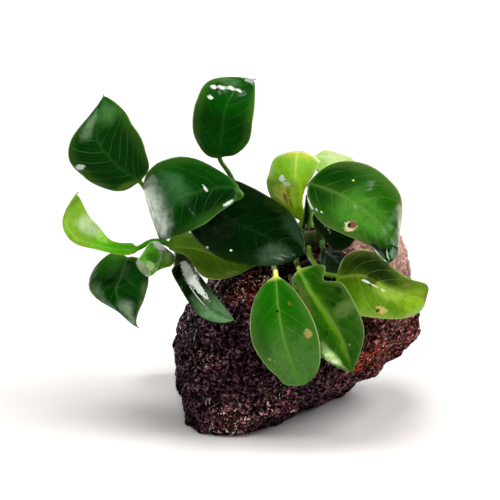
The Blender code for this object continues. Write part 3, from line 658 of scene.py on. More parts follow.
def closed_mesh(rings, marks, wraps, start=None, tip=None):
    """Mesh through equal rings of points, closed by a fan on the start point and one on the tip.

    marks: for each ring point one triple, kept in the attribute "grown"; wraps: the same for the two ends.
    """
    count, sides = rings.shape[:2]
    ends = [rings[0].mean(0) if start is None else start, rings[-1].mean(0) if tip is None else tip]
    points = np.concatenate([rings.reshape(-1, 3), ends]) * MM
    values = np.concatenate([marks.reshape(-1, 3), np.asarray(wraps, float)])

    i = np.arange(count - 1)[:, None] * sides
    j = np.arange(sides)
    k = (j + 1) % sides
    last = (count - 1) * sides
    end = np.full(sides, count * sides)
    quads = np.stack([i + j, i + k, i + sides + k, i + sides + j], -1).reshape(-1, 4)
    fans = np.concatenate([np.stack([end, k, j], -1), np.stack([j + last, k + last, end + 1], -1)])
    a, b, c = points[np.concatenate([quads[:, :3], quads[:, [0, 2, 3]], fans])].transpose(1, 0, 2)
    if np.einsum("ij,ij->", a, np.cross(b, c)) < 0:  # the volume: faces have to point outwards
        quads, fans = quads[:, ::-1], fans[:, ::-1]

    mesh = bpy.data.meshes.new("skin")
    mesh.from_pydata(points.tolist(), [], quads.tolist() + fans.tolist())
    mesh.validate()
    mesh.shade_smooth()
    grown = mesh.attributes.new("grown", "FLOAT_VECTOR", "POINT")
    grown.data.foreach_set("vector", values.astype(np.float32).ravel())
    return mesh


def add_piece(name, mesh, node, finish):
    """Adds the piece that stands for a node of the solids, with its finish."""
    mesh.name = name
    mesh.materials.append(finish)
    made = bpy.data.objects.new(name, mesh)
    bpy.context.scene.collection.objects.link(made)
    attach(made, "root")
    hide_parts(node)


def leaf_mesh(leaf, look, stations=120, halves=34):
    """The whole leaf as one closed surface.

    Stalk: circles carried along the stalk's curve. Blade: at a share t of the half width, both halves
    stand at the angle fold + curl * |t| to the side direction, so each cross section is an arc; the upper
    and lower skins lie on either side of it, at the half thickness times the root of 1 - t squared.
    Along the normal, both skins follow the quilting (a cosine of the distance between side veins) and
    the waves of the margins; the upper one dips and the lower one swells along the midrib.
    """
    x = np.linspace(0, 1, stations)
    s = BLADE_LAST_RING * (0.45 * x + 0.55 * (0.5 - 0.5 * np.cos(math.pi * x)))
    path = place(leaf.stalk + leaf.blade)
    tip = path[-1]
    at = knots(path)
    joint = at[len(leaf.stalk)]
    mid, side, face = blade_frames(leaf, path, at, joint, s)
    length = np.linalg.norm(np.diff(path[: len(leaf.stalk) + 1], axis=0), axis=1).sum()
    count = max(6, round(length / STALK_RING_GAP))
    s_stalk = np.linspace(0, 1, count, endpoint=False)
    mid_stalk, side_stalk, face_stalk = stalk_frames(path, at, joint, s_stalk, side[0])

    x = np.arange(halves) / halves
    over = -(0.5 * np.cos(math.pi * x) + 0.5 * (1 - 2 * x))
    t = np.concatenate([over, -over])[None, :]
    rise = np.sqrt(np.maximum(1 - t**2, 0)) * np.concatenate([np.ones(halves), -np.ones(halves)])
    across = np.abs(t)
    sign = np.sign(np.round(t, 6))

    radius = leaf.slim * (STALK_ROOT_RADIUS + (STALK_TOP_RADIUS - STALK_ROOT_RADIUS) * s_stalk[:, None])
    radius = radius * (1 + 0.05 * (grain(mid_stalk, 3.0, 5)[:, None] - 0.5))
    groove = radius * (1 - 0.12 * bell(t, 0.3) * (rise > 0))
    stalk = (mid_stalk[:, None] + (radius * t)[..., None] * side_stalk[:, None]
             + (groove * rise)[..., None] * face_stalk[:, None])

    top_radius = leaf.slim * STALK_TOP_RADIUS
    left, right = (np.hypot(w, top_radius * (1 - s) ** 2)[:, None] for w in blade_widths(leaf, s))
    width = np.where(t < 0, left, right)
    s = s[:, None]
    grown = 1 - np.exp(-s / BLADE_ONSET)
    fold = leaf.fold * grown
    curl = np.where(t < 0, leaf.curl[0], leaf.curl[1]) * grown
    half = curl * across / 2
    shift = ((mid[0] + (tip - mid[0]) * s - mid) * side).sum(-1)
    lateral = sign * across * np.cos(fold + half) * np.sinc(half / math.pi) * width
    lateral = lateral + leaf.bow * shift[:, None] * across
    height = across * np.sin(fold + half) * np.sinc(half / math.pi) * width
    thick = BLADE_HALF_THICKNESS + (top_radius - BLADE_HALF_THICKNESS) * np.exp(-s / BLADE_ONSET)

    inner = rise_between(across, 0.0, 0.2) * rise_between(across, 1.0, 0.8) * rise_between(s, 0.0, 0.12)
    arch = np.where(t < 0, look.arch[0], look.arch[1])
    phase = look.veins * (s - arch * across**1.4) + 0.5 * (t > 0)
    near = np.abs(phase - np.round(phase))
    swell = -look.quilt * (0.5 * np.cos(2 * math.pi * phase) + bell(near, VEIN_WIDTH))
    swell = swell * inner * rise_between(s, 1.0, 0.85)
    start = look.waves[3] + np.where(t > 0, 0.37, 0.0)
    wave = np.where(t < 0, look.waves[0], look.waves[1]) * across**3
    swell = swell + wave * np.sin(2 * math.pi * (look.waves[2] * s + start)) * rise_between(s, 0.0, 0.15)
    rib = bell(across * width, RIB_WIDTH) * (1 - s) ** 0.5 * grown
    swell = swell - np.where(rise > 0, RIB_DIP, RIB_SWELL) * rib
    thick = thick * rise + swell
    angle = fold + curl * across
    lateral = lateral - sign * np.sin(angle) * thick
    height = height + np.cos(angle) * thick
    blade = mid[:, None] + lateral[..., None] * side[:, None] + height[..., None] * face[:, None]
    blade = blade + 0.05 * (grain(blade, 1.6, 3) - 0.5)[..., None] * face[:, None] * grown[..., None]

    s_all = np.concatenate([s_stalk[:, None] - 1, s]) + 0 * t
    upper = np.broadcast_to(rise > 0, s_all.shape)
    marks = np.stack([s_all, np.broadcast_to(t, s_all.shape), upper], -1).astype(float)
    return closed_mesh(np.concatenate([stalk, blade]), marks, [(-1, 0, 0.5), (1, 0, 0.5)], tip=tip)


def curled_tip_mesh(count=70, sides=56):
    """The rolled tip under the margin of the broad right leaf, as one closed surface.

    From each point of the margin it runs down and bends towards the front, along an arc whose radius
    grows from nothing at both ends to a few millimetres, and whose angle grows towards the leaf's tip.
    """
    u = np.linspace(0.001, 0.999, count)[:, None]
    x = turns(sides)[None, :]
    v = (1 - np.cos(x)) / 2
    radius = CURL_RADIUS * np.sin(math.pi * u**0.8) ** 0.5
    angle = (CURL_ANGLES[0] + (CURL_ANGLES[1] - CURL_ANGLES[0]) * u**1.5) * v
    down, front = np.array([0, -math.sin(VIEW_TILT), -math.cos(VIEW_TILT)]), np.array([0.25, -0.92, 0.3])
    thick = CURL_HALF_THICKNESS * np.sin(x) * np.minimum(1, radius / 1.5)
    lower = radius * np.sin(angle) - thick * np.sin(angle)
    ahead = 1.15 * radius * (1 - np.cos(angle)) + thick * np.cos(angle)
    rings = spread(CURL_MARGIN, u[:, 0])[:, None] + lower[..., None] * down + ahead[..., None] * front
    marks = np.stack([0.2 + 0.6 * u + 0 * x, v + 0 * u, (np.sin(x) > 0) + 0 * u], -1)
    return closed_mesh(rings, marks, [(0.2, 0, 0.5), (0.8, 0, 0.5)])


def tube(path, radii, count, sides, shape):
    """A tube along a smooth curve through the path's points, its rings scaled by shape(s, turn, outwards)."""
    at = knots(path)
    s = np.linspace(0, 1, count)
    along = heading(path, at, s)
    first = unit(np.cross(along, np.array([0.2, 0.3, 0.9])))
    second = np.cross(along, first)
    turn = turns(sides)[None, :]
    circle = np.cos(turn)[..., None] * first[:, None] + np.sin(turn)[..., None] * second[:, None]
    radius = spread(radii, s) * shape(s[:, None], turn, circle)
    rings = smooth(path, at, s)[:, None] + radius[..., None] * circle
    marks = np.stack([s[:, None] + 0 * turn, turn / (2 * math.pi) + 0 * s[:, None], radius], -1)
    return rings, marks


def tube_mesh(**course):
    """The same tube as a mesh that is closed at both ends."""
    rings, marks = tube(**course)
    return closed_mesh(rings, marks, [(0, 0, 0), (1, 0, 0)])


def scarred(s, turn, outwards):
    """Leaf scars of the creeping stem: a saw-toothed ring every 2.8 mm, higher on alternating sides."""
    phase = s * SCAR_COUNT + 0.12 * np.sin(turn)
    tooth = phase - np.floor(phase)
    side = 0.5 + 0.5 * np.cos(turn + math.pi * np.floor(phase))
    return 1 + (0.03 + 0.05 * side) * (bell(tooth, 0.22) - 0.4 * tooth)


def wrapped(s, turn, outwards):
    """A sheath rolled round the shoot: a spiral edge, a twelfth of the radius high, and a lobe, which is a
    bell curve along the tube and round its upper side."""
    part = (turn / (2 * math.pi) + SHEATH_WRAP * s) % 1.0
    edge = 1 + 0.08 * (1 - part) * rise_between(part, 0.0, 0.04) + 0.02 * np.sin(7 * turn + 5 * s)
    turned = np.arccos(np.clip(outwards @ UP, -1, 1))
    lobe = np.exp(-(((s - LOBE_PLACE) / LOBE_LENGTH) ** 2) - (turned / LOBE_WIDTH) ** 2)
    return edge + LOBE_HEIGHT * lobe


def shoot_mesh(count=110, sides=96, deep=40):
    """The sheath as an open tube: its last rings turn inwards at the mouth and run back inside it, drawn
    together by a share that grows from a tenth to six tenths."""
    rings, marks = tube(place(SHOOT["points"]), SHOOT["radii"], count, sides, wrapped)
    inner = rings[::-1][:deep]
    middle = inner.mean(1, keepdims=True)
    drawn = np.linspace(0.1, 0.6, deep)[:, None, None]
    inside = marks[::-1][:deep].copy()
    inside[..., 0] = 2 - inside[..., 0]
    rings = np.concatenate([rings, inner + (middle - inner) * drawn])
    marks = np.concatenate([marks, inside])
    return closed_mesh(rings, marks, [(0, 0, 0), (2, 0, 0)])


def stone_mesh(pit_size, pit_depth):
    """The stone: directions on a grid of longitude and latitude, moved out to the lumpy surface.

    Waves of 7 mm, blisters of 3 mm, round pits of the given size and a fine crumb are laid on it; the
    foot stays flat. The attribute holds the depth in the pits, the crumb and a slow unevenness.
    """
    longitude = turns(STONE_COLUMNS)
    latitude = math.pi * (np.arange(1, STONE_ROWS + 1) / (STONE_ROWS + 1) - 0.5)
    up = np.sin(latitude)[:, None] + 0 * longitude[None, :]
    out = np.cos(latitude)[:, None]
    directions = np.stack([out * np.cos(longitude), out * np.sin(longitude), up], -1).reshape(-1, 3)
    poles = np.array([[0, 0, -1.0], [0, 0, 1.0]])

    def surface(way):
        """Points and marks of the stone in those directions."""
        radius = bare_radius(way)
        ground = STONE_CENTRE + radius[:, None] * way
        bend = ground + 1.2 * np.stack([grain(ground, 3.5, k) - 0.5 for k in (11, 12, 13)], -1)
        waves = grain(ground, 7.0, 21) - 0.5
        near, far = pores(bend, pit_size, 31)
        pit = rise_between(near, 0.62, 0.25)
        small, _ = pores(bend, pit_size * 0.55, 41)
        nick = rise_between(small, 0.55, 0.2)
        blister = grain(bend, 3.0, 22) - 0.5
        crumb = grain(ground, 0.9, 23) - 0.5
        relief = 0.9 * waves + 0.7 * blister - pit_depth * pit - 0.35 * pit_depth * nick + 0.18 * crumb
        wall = rise_between(far - near, 0.25, 0.0)
        radius = cut_foot(way, radius + relief + 0.25 * wall * (1 - pit))
        depth = np.clip(0.8 * pit + 0.4 * nick, 0, 1)
        return STONE_CENTRE + radius[:, None] * way, np.stack([depth, crumb + 0.5, waves + 0.5], -1)

    points, marks = surface(directions)
    ends, end_marks = surface(poles)
    return closed_mesh(points.reshape(STONE_ROWS, STONE_COLUMNS, 3), marks, end_marks, *ends)


# ---- finishes


class Wire:
    """A socket of a finish, with arithmetic: each operator adds one Math node."""

    def __init__(self, finish, socket):
        self.finish = finish
        self.socket = socket

    def math(self, operation, *others):
        """A Math node on this socket and the others."""
        return self.finish.node("ShaderNodeMath", {"operation": operation}, dict(enumerate((self, *others))))

    def __rsub__(self, other):
        return self.finish.node("ShaderNodeMath", {"operation": "SUBTRACT"}, {0: other, 1: self})

    __add__ = __radd__ = partialmethod(math, "ADD")
    __sub__ = partialmethod(math, "SUBTRACT")
    __mul__ = __rmul__ = partialmethod(math, "MULTIPLY")
    __truediv__ = partialmethod(math, "DIVIDE")
    __pow__ = partialmethod(math, "POWER")
    __abs__ = partialmethod(math, "ABSOLUTE")


class Finish:
    """A material, or a world's light, in the making: node() adds a node and gives its output."""

    def __init__(self, name, world=None):
        self.made = world or bpy.data.materials.new(name)
        self.made.use_nodes = True
        self.tree = self.made.node_tree
        self.shader = self.tree.nodes["Background" if world else "Principled BSDF"]

    def node(self, kind, settings=None, values=None, out=0):
        """A node of that type: settings first, then its sockets' values or links, by name or number."""
        made = self.tree.nodes.new(kind)
        for key, value in (settings or {}).items():
            setattr(made, key, value)
        for key, value in (values or {}).items():
            self.set(made, key, value)
        return Wire(self, made.outputs[out])

    def set(self, node, key, value):
        """Links or sets the socket of that name or number."""
        if isinstance(key, int):
            socket = node.inputs[key]
        else:
            socket = next(s for s in node.inputs if key.lower() in (s.identifier.lower(), s.name.lower()))
        if isinstance(value, Wire):
            self.tree.links.new(value.socket, socket)
        elif socket.type == "RGBA" and len(value) == 3:
            socket.default_value = (*value, 1.0)
        else:
            socket.default_value = value

    def end(self, **values):
        """Sets the shader's own sockets, with underscores for spaces."""
        for key, value in values.items():
            self.set(self.shader, key.replace("_", " "), value)
        return self.made

    def parts(self, vector):
        """The three numbers of a vector."""
        node = self.node("ShaderNodeSeparateXYZ", {}, {0: vector}).socket.node
        return [Wire(self, socket) for socket in node.outputs]

    def grey(self, value):
        """A colour without hue, of that brightness."""
        return self.node("ShaderNodeCombineColor", {}, {0: value, 1: value, 2: value})

    def where(self):
        """Object coordinates."""
        return self.node("ShaderNodeTexCoord", out="Object")

    def grown(self):
        """The three numbers kept with each point of the mesh."""
        return self.parts(self.node("ShaderNodeAttribute", {"attribute_name": "grown"}, out="Vector"))

    def noise(self, where, size, detail=2.0, roughness=0.5, distortion=0.0):
        """Noise with features of about that size in millimetres."""
        return self.node("ShaderNodeTexNoise", {}, {
            "Vector": where, "Scale": 1000.0 / size, "Detail": detail, "Roughness": roughness,
            "Distortion": distortion})

    def step(self, x, low, high, top=1.0):
        """0 at low, `top` at high, and a smooth step between."""
        return self.node("ShaderNodeMapRange", {"interpolation_type": "SMOOTHSTEP"},
                         {"Value": x, "From Min": low, "From Max": high, "To Min": 0.0, "To Max": top})

    def mix(self, first, second, share):
        """Colour `first`, turned to `second` by the share."""
        return self.node("ShaderNodeMix", {"data_type": "RGBA"},
                         {"Factor_Float": share, "A_Color": first, "B_Color": second}, out=2)

    def clouded(self, colour, shade, where, size, low, high, share, detail=2.0, roughness=0.5):
        """The colour, turned to the shade by the share where noise of that size rises from low to high."""
        noise = self.noise(where, size, detail, roughness)
        return self.mix(colour, shade, self.step(noise, low, high, share))

    def marks(self, colour, spots, along, aside, where, soft=False):
        """The colour with rounded marks: (place along, place aside, length, width, colour, share)."""
        if not spots:
            return colour
        torn = (self.noise(where, 4.0 if soft else 0.9, 3.0, 0.6) - 0.5) * (0.9 if soft else 1.4)
        low, high = (1.3, 0.35) if soft else (1.05, 0.75)
        for place_along, place_aside, long, wide, shade, share in spots:
            far = ((along - place_along) / long) ** 2.0 + ((aside - place_aside) / wide) ** 2.0
            share = self.step(far.math("SQRT") + torn, low, high, share)
            colour = self.mix(colour, tint(*shade), share)
        return colour

    def bump(self, height, depth, strength=1.0):
        """A normal bent by a height of 0 to 1 that stands for `depth` millimetres."""
        return self.node("ShaderNodeBump", {}, {"Strength": strength, "Distance": depth * MM,
                                                "Height": height})


def scaled(colour, factor):
    """The colour times the factor, or as near to it as leaves its hue."""
    return tuple(c * min(factor, 1.0 / max(colour)) for c in colour)


def leaf_finish(name, look, main, wet):
    """Blade: clouds of lighter green, arched side veins, midrib, pale rim, paler underside and its marks."""
    f = Finish(name)
    colours = {key: scaled(tint(*colour), look.depth) for key, colour in KINDS[look.kind].items()}
    main = scaled(main, look.depth)
    where = f.where()
    along, aside, upper = f.grown()
    across = abs(aside)

    wander = (f.noise(where, 8.0, 1.0) - 0.5) * 0.05
    arch = f.step(aside, -0.001, 0.001, look.arch[1] - look.arch[0]) + look.arch[0]
    phase = (along - (across ** 1.4) * arch + wander) * look.veins + f.step(aside, -0.001, 0.001, 0.5)
    vein = f.step(phase.math("PINGPONG", 0.5), 0.075, 0.015)
    fade = f.step(across, 0.98, 0.7) * f.step(across, 0.0, 0.06) * f.step(along, 0.0, 0.05)
    fade = fade * (f.step(f.noise(where, 12.0, 2.0), 0.35, 0.6) * 0.7 + 0.3)
    vein = vein * fade
    fine = f.step((phase * 3.0).math("PINGPONG", 0.5), 0.25, 0.0) * fade
    midrib = f.step(across * (along * 0.6 + 0.7), 0.07, 0.015) * f.step(along, 1.0, 0.6)

    colour = f.clouded(main, colours["light"], where, 9.0, 0.35, 0.72, look.clouds, 4.0, 0.6)
    # soft patches: painted sheen and painted shade among them
    colour = f.marks(colour, look.patches, along, aside, where, soft=True)
    colour = f.clouded(colour, scaled(main, 0.45), where, 2.2, 0.45, 0.75, 0.45, 5.0, 0.65)
    colour = f.clouded(colour, scaled(main, 0.5), where, 0.6, 0.5, 0.75, 0.3)
    colour = f.mix(colour, colours["light"], f.step(across, 0.35, 0.0, 0.25))
    colour = f.mix(colour, colours["vein"], (fine * 0.12 + vein * 0.75) * look.relief)
    colour = f.mix(colour, colours["vein"], midrib * look.rib)
    colour = f.mix(colour, colours["rim"], f.step(across, 0.6, 1.0, look.edge))
    colour = f.mix(colour, colours["rim"], f.step(across, 0.955, 0.985, 0.85))
    colour = f.mix(colours["under"], colour, f.step(upper, 0.3, 0.7))
    colour = f.mix(colour, tint(*look.stalk), f.step(along, 0.07, -0.02))
    # ragged spots: painted highlights among them
    colour = f.marks(colour, look.spots, along, aside, where)

    rough = f.noise(where, 3.0, 3.0) * 0.12 + (look.rough - 0.06)
    height = f.noise(where, 1.1, 2.0) * 0.3 + vein * -0.3 + f.noise(where, 0.35, 1.0) * 0.06
    return f.end(base_color=colour, roughness=rough, normal=f.bump(height, 0.12, 0.5),
                 ior=1.26, coat_weight=wet, coat_roughness=look.rough * 0.5, coat_ior=1.5,
                 subsurface_weight=0.12, subsurface_radius=(0.35, 1.0, 0.15), subsurface_scale=0.0008)


def stem_finish(main):
    """Creeping stem: green between brown, papery leaf scars."""
    f = Finish("creeping_stem_bark")
    where = f.where()
    phase = (f.grown()[0] * SCAR_COUNT).math("FRACT")
    scar = f.step(phase, 0.3, 0.05) + f.step(phase, 0.93, 1.0)
    colour = f.clouded(main, tint(62, 92, 30), where, 3.0, 0.45, 0.7, 0.7, 4.0, 0.6)
    colour = f.mix(colour, tint(96, 66, 36), scar.math("MINIMUM", 1.0) * 0.75)
    colour = f.clouded(colour, tint(40, 28, 18), where, 0.8, 0.55, 0.75, 0.5, 3.0)
    height = f.noise(where, 0.6, 3.0) + scar * 0.5
    return f.end(base_color=colour, roughness=f.noise(where, 2.0) * 0.2 + 0.35,
                 normal=f.bump(height, 0.2, 0.6), coat_weight=0.3, coat_roughness=0.15)


SHEATH_MARKS = (
    (0.78, 0.62, 0.12, 0.1, (36, 96, 8), 0.7),
    (0.28, 0.54, 0.13, 0.1, (186, 210, 152), 0.7),
    (0.92, 0.54, 0.1, 0.1, (196, 218, 160), 0.6),
    (0.43, 0.725, 0.15, 0.055, (255, 255, 240), 1.0),
    (0.2, 0.69, 0.06, 0.04, (140, 84, 28), 0.9),
)


def shoot_finish(main):
    """Sheath on the growing tip: pale, ribbed green with a whitish overlapped edge and a brown cut."""
    f = Finish("shoot_sheath")
    where = f.where()
    along, turn, _ = f.grown()
    part = (turn + along * SHEATH_WRAP).math("FRACT")
    ribs = f.step((turn * 26.0).math("PINGPONG", 0.5), 0.0, 0.5)
    colour = f.mix(main, tint(128, 168, 60), ribs * 0.3)
    colour = f.mix(colour, tint(205, 214, 184), f.step(part, 0.14, 0.0, 0.85))
    colour = f.clouded(colour, tint(36, 96, 8), where, 3.5, 0.5, 0.7, 0.6)
    colour = f.mix(colour, tint(214, 220, 196), f.step(along, 0.97, 1.04, 0.8))
    colour = f.marks(colour, SHEATH_MARKS, along, turn, where)
    height = ribs * 0.6 + f.noise(where, 0.7, 2.0) * 0.4
    return f.end(base_color=colour, roughness=f.noise(where, 2.0) * 0.2 + 0.2,
                 normal=f.bump(height, 0.12, 0.5), coat_weight=0.4, coat_roughness=0.1,
                 subsurface_weight=0.15, subsurface_radius=(0.6, 1.0, 0.3), subsurface_scale=0.001)


def root_finish():
    """Roots: brown skin with fine lengthwise fibres, greenish where it is young."""
    f = Finish("root_skin")
    where = f.where()
    along, turn, _ = f.grown()
    fibres = f.step((turn * 14.0 + f.noise(where, 2.0) * 2.0).math("PINGPONG", 0.5), 0.0, 0.5)
    colour = f.mix(tint(112, 92, 54), tint(70, 50, 30), fibres * 0.6)
    colour = f.mix(colour, tint(128, 140, 70), f.step(along, 0.3, 0.0, 0.5))
    colour = f.clouded(colour, tint(34, 24, 16), where, 1.5, 0.5, 0.75, 0.6, 3.0)
    height = fibres * 0.5 + f.noise(where, 0.5, 2.0) * 0.5
    return f.end(base_color=colour, roughness=f.noise(where, 1.5) * 0.2 + 0.4,
                 normal=f.bump(height, 0.15, 0.7))


# Where the crust differs: centre and reach in mm, mean colour as seen on a screen, share, share of painted
# glints that glow, and contrast
STONE_PATCHES = (
    ((-5, -15, 61), 12, (226, 84, 72), 0.95, 0.6, 0.55),
    ((-21, -25, 34), 8, (40, 17, 19), 0.7, 0.5, 1.0),
    ((-33, -6, 30), 17, (20, 12, 16), 0.85, 0.25, 1.0),
    ((-14, -24, 9), 12, (78, 46, 50), 0.85, 1.0, 1.0),
    ((8, -23, 12), 12, (66, 38, 43), 0.85, 0.6, 1.0),
    ((41, -20, 32), 12, (220, 92, 62), 0.95, 0.9, 0.55),
    ((34, -8, 17), 11, (78, 46, 48), 0.7, 0.2, 1.0),
    ((52, -18, 42), 8, (60, 36, 36), 0.75, 0.1, 1.0),
)


def stone_finish(wet_colour, dry_colour):
    """Lava crust: ridges over near-black pits, partly painted shade, maroon where wet, redder towards the
    drier right end, with painted glints that glow.
    """
    f = Finish("lava_stone_crust")
    where = f.where()
    depth = f.grown()[0]
    x, _, z = f.parts(where)
    patches = f.noise(where, 14.0, 3.0, 0.6) - 0.5
    dry = f.step(x * 1000.0 + z * 300.0 + patches * 60.0, 30.0, 62.0)
    high = f.step(x * 1000.0 + z * 1000.0 + patches * 60.0, 98.0, 124.0)
    ridges = f.step(abs(f.noise(where, 2.6, 1.0, 0.6, 1.2) - 0.5), 0.16, 0.02)
    grain = f.step(f.noise(where, 1.5, 1.0, 0.6), 0.4, 0.62)
    tone = (ridges * 0.5 + grain * 0.5) ** 3.5

    def crust(shade, contrast=1.0):
        """The shade, near black in the pits and bright on the ridges: partly the crust's uneven tone, partly
        painted shade in the low parts of its bump.
        """
        return f.mix(scaled(shade, 0.03), scaled(shade, 17.0), tone ** contrast)

    colour = f.mix(crust(wet_colour), crust(dry_colour), dry)
    # wet: where the painted glints, which glow, may show
    wet = f.step(patches, 0.03, 0.12, 0.25)
    for centre, size, shade, share, glints, contrast in STONE_PATCHES:
        far = f.node("ShaderNodeVectorMath", {"operation": "DISTANCE"},
                     {0: where, 1: tuple(np.array(centre) * MM)}, out="Value")
        patch = f.step(far * (1000.0 / size) + patches * 1.6, 1.1, 0.4)
        colour = f.mix(colour, crust(tint(*shade), contrast), patch * share)
        wet = wet + patch * glints
    colour = f.mix(colour, tint(255, 204, 186), high * (grain * 0.3 + 0.7))
    # painted shade: the pits darken towards their floors
    colour = f.mix(colour, tint(3, 2, 3), depth * 0.95 * (1 - high * 0.5))
    # painted glints: small spots that glow through the emission, standing for light caught in water drops
    glowing_glints = f.step(f.noise(where, 1.9, 1.0, 0.5, 2.0), 0.65, 0.7) * wet * (1 - high)
    glint = f.mix((0.0, 0.0, 0.0), tint(255, 240, 214), glowing_glints)
    height = tone + f.noise(where, 0.4, 2.0) * 0.2
    film = f.step(f.noise(where, 1.3, 3.0, 0.7), 0.5, 0.62, 0.7) * f.step(tone, 0.04, 0.3) * (1 - dry * 0.6)
    return f.end(base_color=colour, roughness=0.65, specular_ior_level=0.0, normal=f.bump(height, 1.6),
                 emission_color=glint, emission_strength=0.8,
                 coat_weight=film, coat_roughness=0.12, coat_ior=1.4)


# ---- settings


COLOUR = dict(subtype="COLOR", size=3, min=0.0, max=1.0)
STRENGTH = dict(subtype="UNSIGNED", min=0.0)


class PlantSettings(bpy.types.PropertyGroup):
    old_green: bpy.props.FloatVectorProperty(
        name="Old leaf", description="Main colour of the oldest, darkest leaves",
        default=tint(7, 60, 5), **COLOUR)
    full_green: bpy.props.FloatVectorProperty(
        name="Grown leaf", description="Main colour of the full green leaves",
        default=tint(34, 108, 6), **COLOUR)
    pale_green: bpy.props.FloatVectorProperty(
        name="Young leaf", description="Main colour of the yellow-green leaves",
        default=tint(116, 172, 30), **COLOUR)
    olive_green: bpy.props.FloatVectorProperty(
        name="Olive leaf", description="Main colour of the shaded, olive leaves",
        default=tint(66, 106, 8), **COLOUR)
    stem_green: bpy.props.FloatVectorProperty(
        name="Stem", description="Colour of the creeping stem between its scars",
        default=tint(46, 66, 26), **COLOUR)
    sheath_green: bpy.props.FloatVectorProperty(
        name="Sheath", description="Colour of the sheath on the growing tip",
        default=tint(82, 168, 2), **COLOUR)
    wet: bpy.props.FloatProperty(
        name="Water film", description="Share of clear gloss that water lays over the leaves",
        subtype="FACTOR", min=0.0, max=1.0, default=0.4)


class StoneSettings(bpy.types.PropertyGroup):
    wet_colour: bpy.props.FloatVectorProperty(
        name="Wet stone", description="Colour of the soaked crust",
        default=tint(40, 24, 30), **COLOUR)
    dry_colour: bpy.props.FloatVectorProperty(
        name="Drier stone", description="Colour of the crust at the right end",
        default=tint(124, 72, 68), **COLOUR)
    pit_size: bpy.props.FloatProperty(
        name="Pit size", description="Distance between neighbouring pores", unit="LENGTH",
        min=0.001, max=0.006, default=0.0026)
    pit_depth: bpy.props.FloatProperty(
        name="Pit depth", description="Depth of the pores", unit="LENGTH",
        min=0.0, max=0.002, default=0.0011)


class StageSettings(bpy.types.PropertyGroup):
    floor_colour: bpy.props.FloatVectorProperty(
        name="Floor", description="Colour of the floor",
        default=(0.88, 0.849, 0.827), **COLOUR)
    high_strength: bpy.props.FloatProperty(
        name="High light", description="Light in watts per square metre from high up",
        default=2.4, **STRENGTH)
    right_strength: bpy.props.FloatProperty(
        name="Right light", description="Light in watts per square metre from the right",
        default=2.6, **STRENGTH)
    front_strength: bpy.props.FloatProperty(
        name="Front light", description="Light in watts per square metre from above the camera",
        default=0.15, **STRENGTH)
    top_power: bpy.props.FloatProperty(
        name="Top light", description="Power of the small light overhead, which draws the highlights",
        unit="POWER", min=0.0, default=0.2)
    focal_length: bpy.props.FloatProperty(
        name="Focal length", description="Focal length of the camera", subtype="DISTANCE_CAMERA",
        min=10.0, default=FOCAL_LENGTH)


# ---- pieces


class PLANT_OT_leaves(bpy.types.Operator):
    """Makes the nineteen leaves, each a stalk and a blade in one skin"""

    bl_idname = "plant.leaves"
    bl_label = "Leaves"

    def execute(self, context):
        settings = context.scene.plant
        mains = {"dark": settings.old_green, "full": settings.full_green,
                 "pale": settings.pale_green, "olive": settings.olive_green}
        for leaf in LEAVES:
            look = LOOKS[leaf.name]
            finish = leaf_finish(leaf.name + "_blade", look, tuple(mains[look.kind]), settings.wet)
            add_piece(leaf.name + "_skin", leaf_mesh(leaf, look), leaf.name, finish)
        finish = leaf_finish("leaf_right_broad_underside", CURL_LOOK, tuple(mains["dark"]), settings.wet)
        add_piece("leaf_right_broad_tip", curled_tip_mesh(), "leaf_right_broad",
                  finish)
        return {"FINISHED"}


class PLANT_OT_stem(bpy.types.Operator):
    """Makes the creeping stem with its leaf scars, and the sheathed shoot on its tip"""

    bl_idname = "plant.stem"
    bl_label = "Stem and shoot"

    def execute(self, context):
        settings = context.scene.plant
        mesh = tube_mesh(path=place(RHIZOME["points"]), radii=RHIZOME["radii"], count=260, sides=48,
                         shape=scarred)
        add_piece("rhizome_skin", mesh, "rhizome", stem_finish(tuple(settings.stem_green)))
        add_piece("shoot_skin", shoot_mesh(), "shoot", shoot_finish(tuple(settings.sheath_green)))
        return {"FINISHED"}


class PLANT_OT_roots(bpy.types.Operator):
    """Makes the roots that run over the stone"""

    bl_idname = "plant.roots"
    bl_label = "Roots"

    def execute(self, context):
        finish = root_finish()
        for number, (name, *course) in enumerate(ROOTS):
            def uneven(s, turn, outwards, number=number):
                """Thick at the stem and thin at the end, with slow swellings."""
                return (1 - 0.5 * s) * (1 + 0.1 * np.sin(31 * s + number) + 0.05 * np.sin(3 * turn + 40 * s))

            mesh = tube_mesh(path=root_points(*course), radii=(ROOT_RADIUS, ROOT_RADIUS), count=150,
                             sides=20, shape=uneven)
            add_piece(name + "_skin", mesh, name, finish)
        return {"FINISHED"}


class PLANT_OT_stone(bpy.types.Operator):
    """Makes the porous lava stone"""

    bl_idname = "plant.stone"
    bl_label = "Stone"

    def execute(self, context):
        settings = context.scene.plant_stone
        mesh = stone_mesh(settings.pit_size / MM, settings.pit_depth / MM)
        finish = stone_finish(tuple(settings.wet_colour), tuple(settings.dry_colour))
        add_piece("stone_skin", mesh, "stone", finish)
        return {"FINISHED"}


def add_light(name, kind, position, power, size):
    """A soft light that looks at the plant: an area light of that size in metres, which leaves highlights, or
    a sun of that width in degrees, which leaves none and whose distance doesn't matter."""
    data = bpy.data.lights.new(name, kind)
    data.energy = power
    if kind == "SUN":
        data.angle = math.radians(size)
    else:
        data.size = size
    made = bpy.data.objects.new(name, data)
    bpy.context.scene.collection.objects.link(made)
    made.location = position
    made.visible_glossy = kind == "AREA"
    aim(made, np.array(LIT_POINT) - np.array(position))


def aim(thing, direction):
    """Turns a camera or a light so that it looks along the direction, its top upwards."""
    thing.rotation_mode = "QUATERNION"
    thing.rotation_quaternion = Vector(direction).to_track_quat("-Z", "Y")


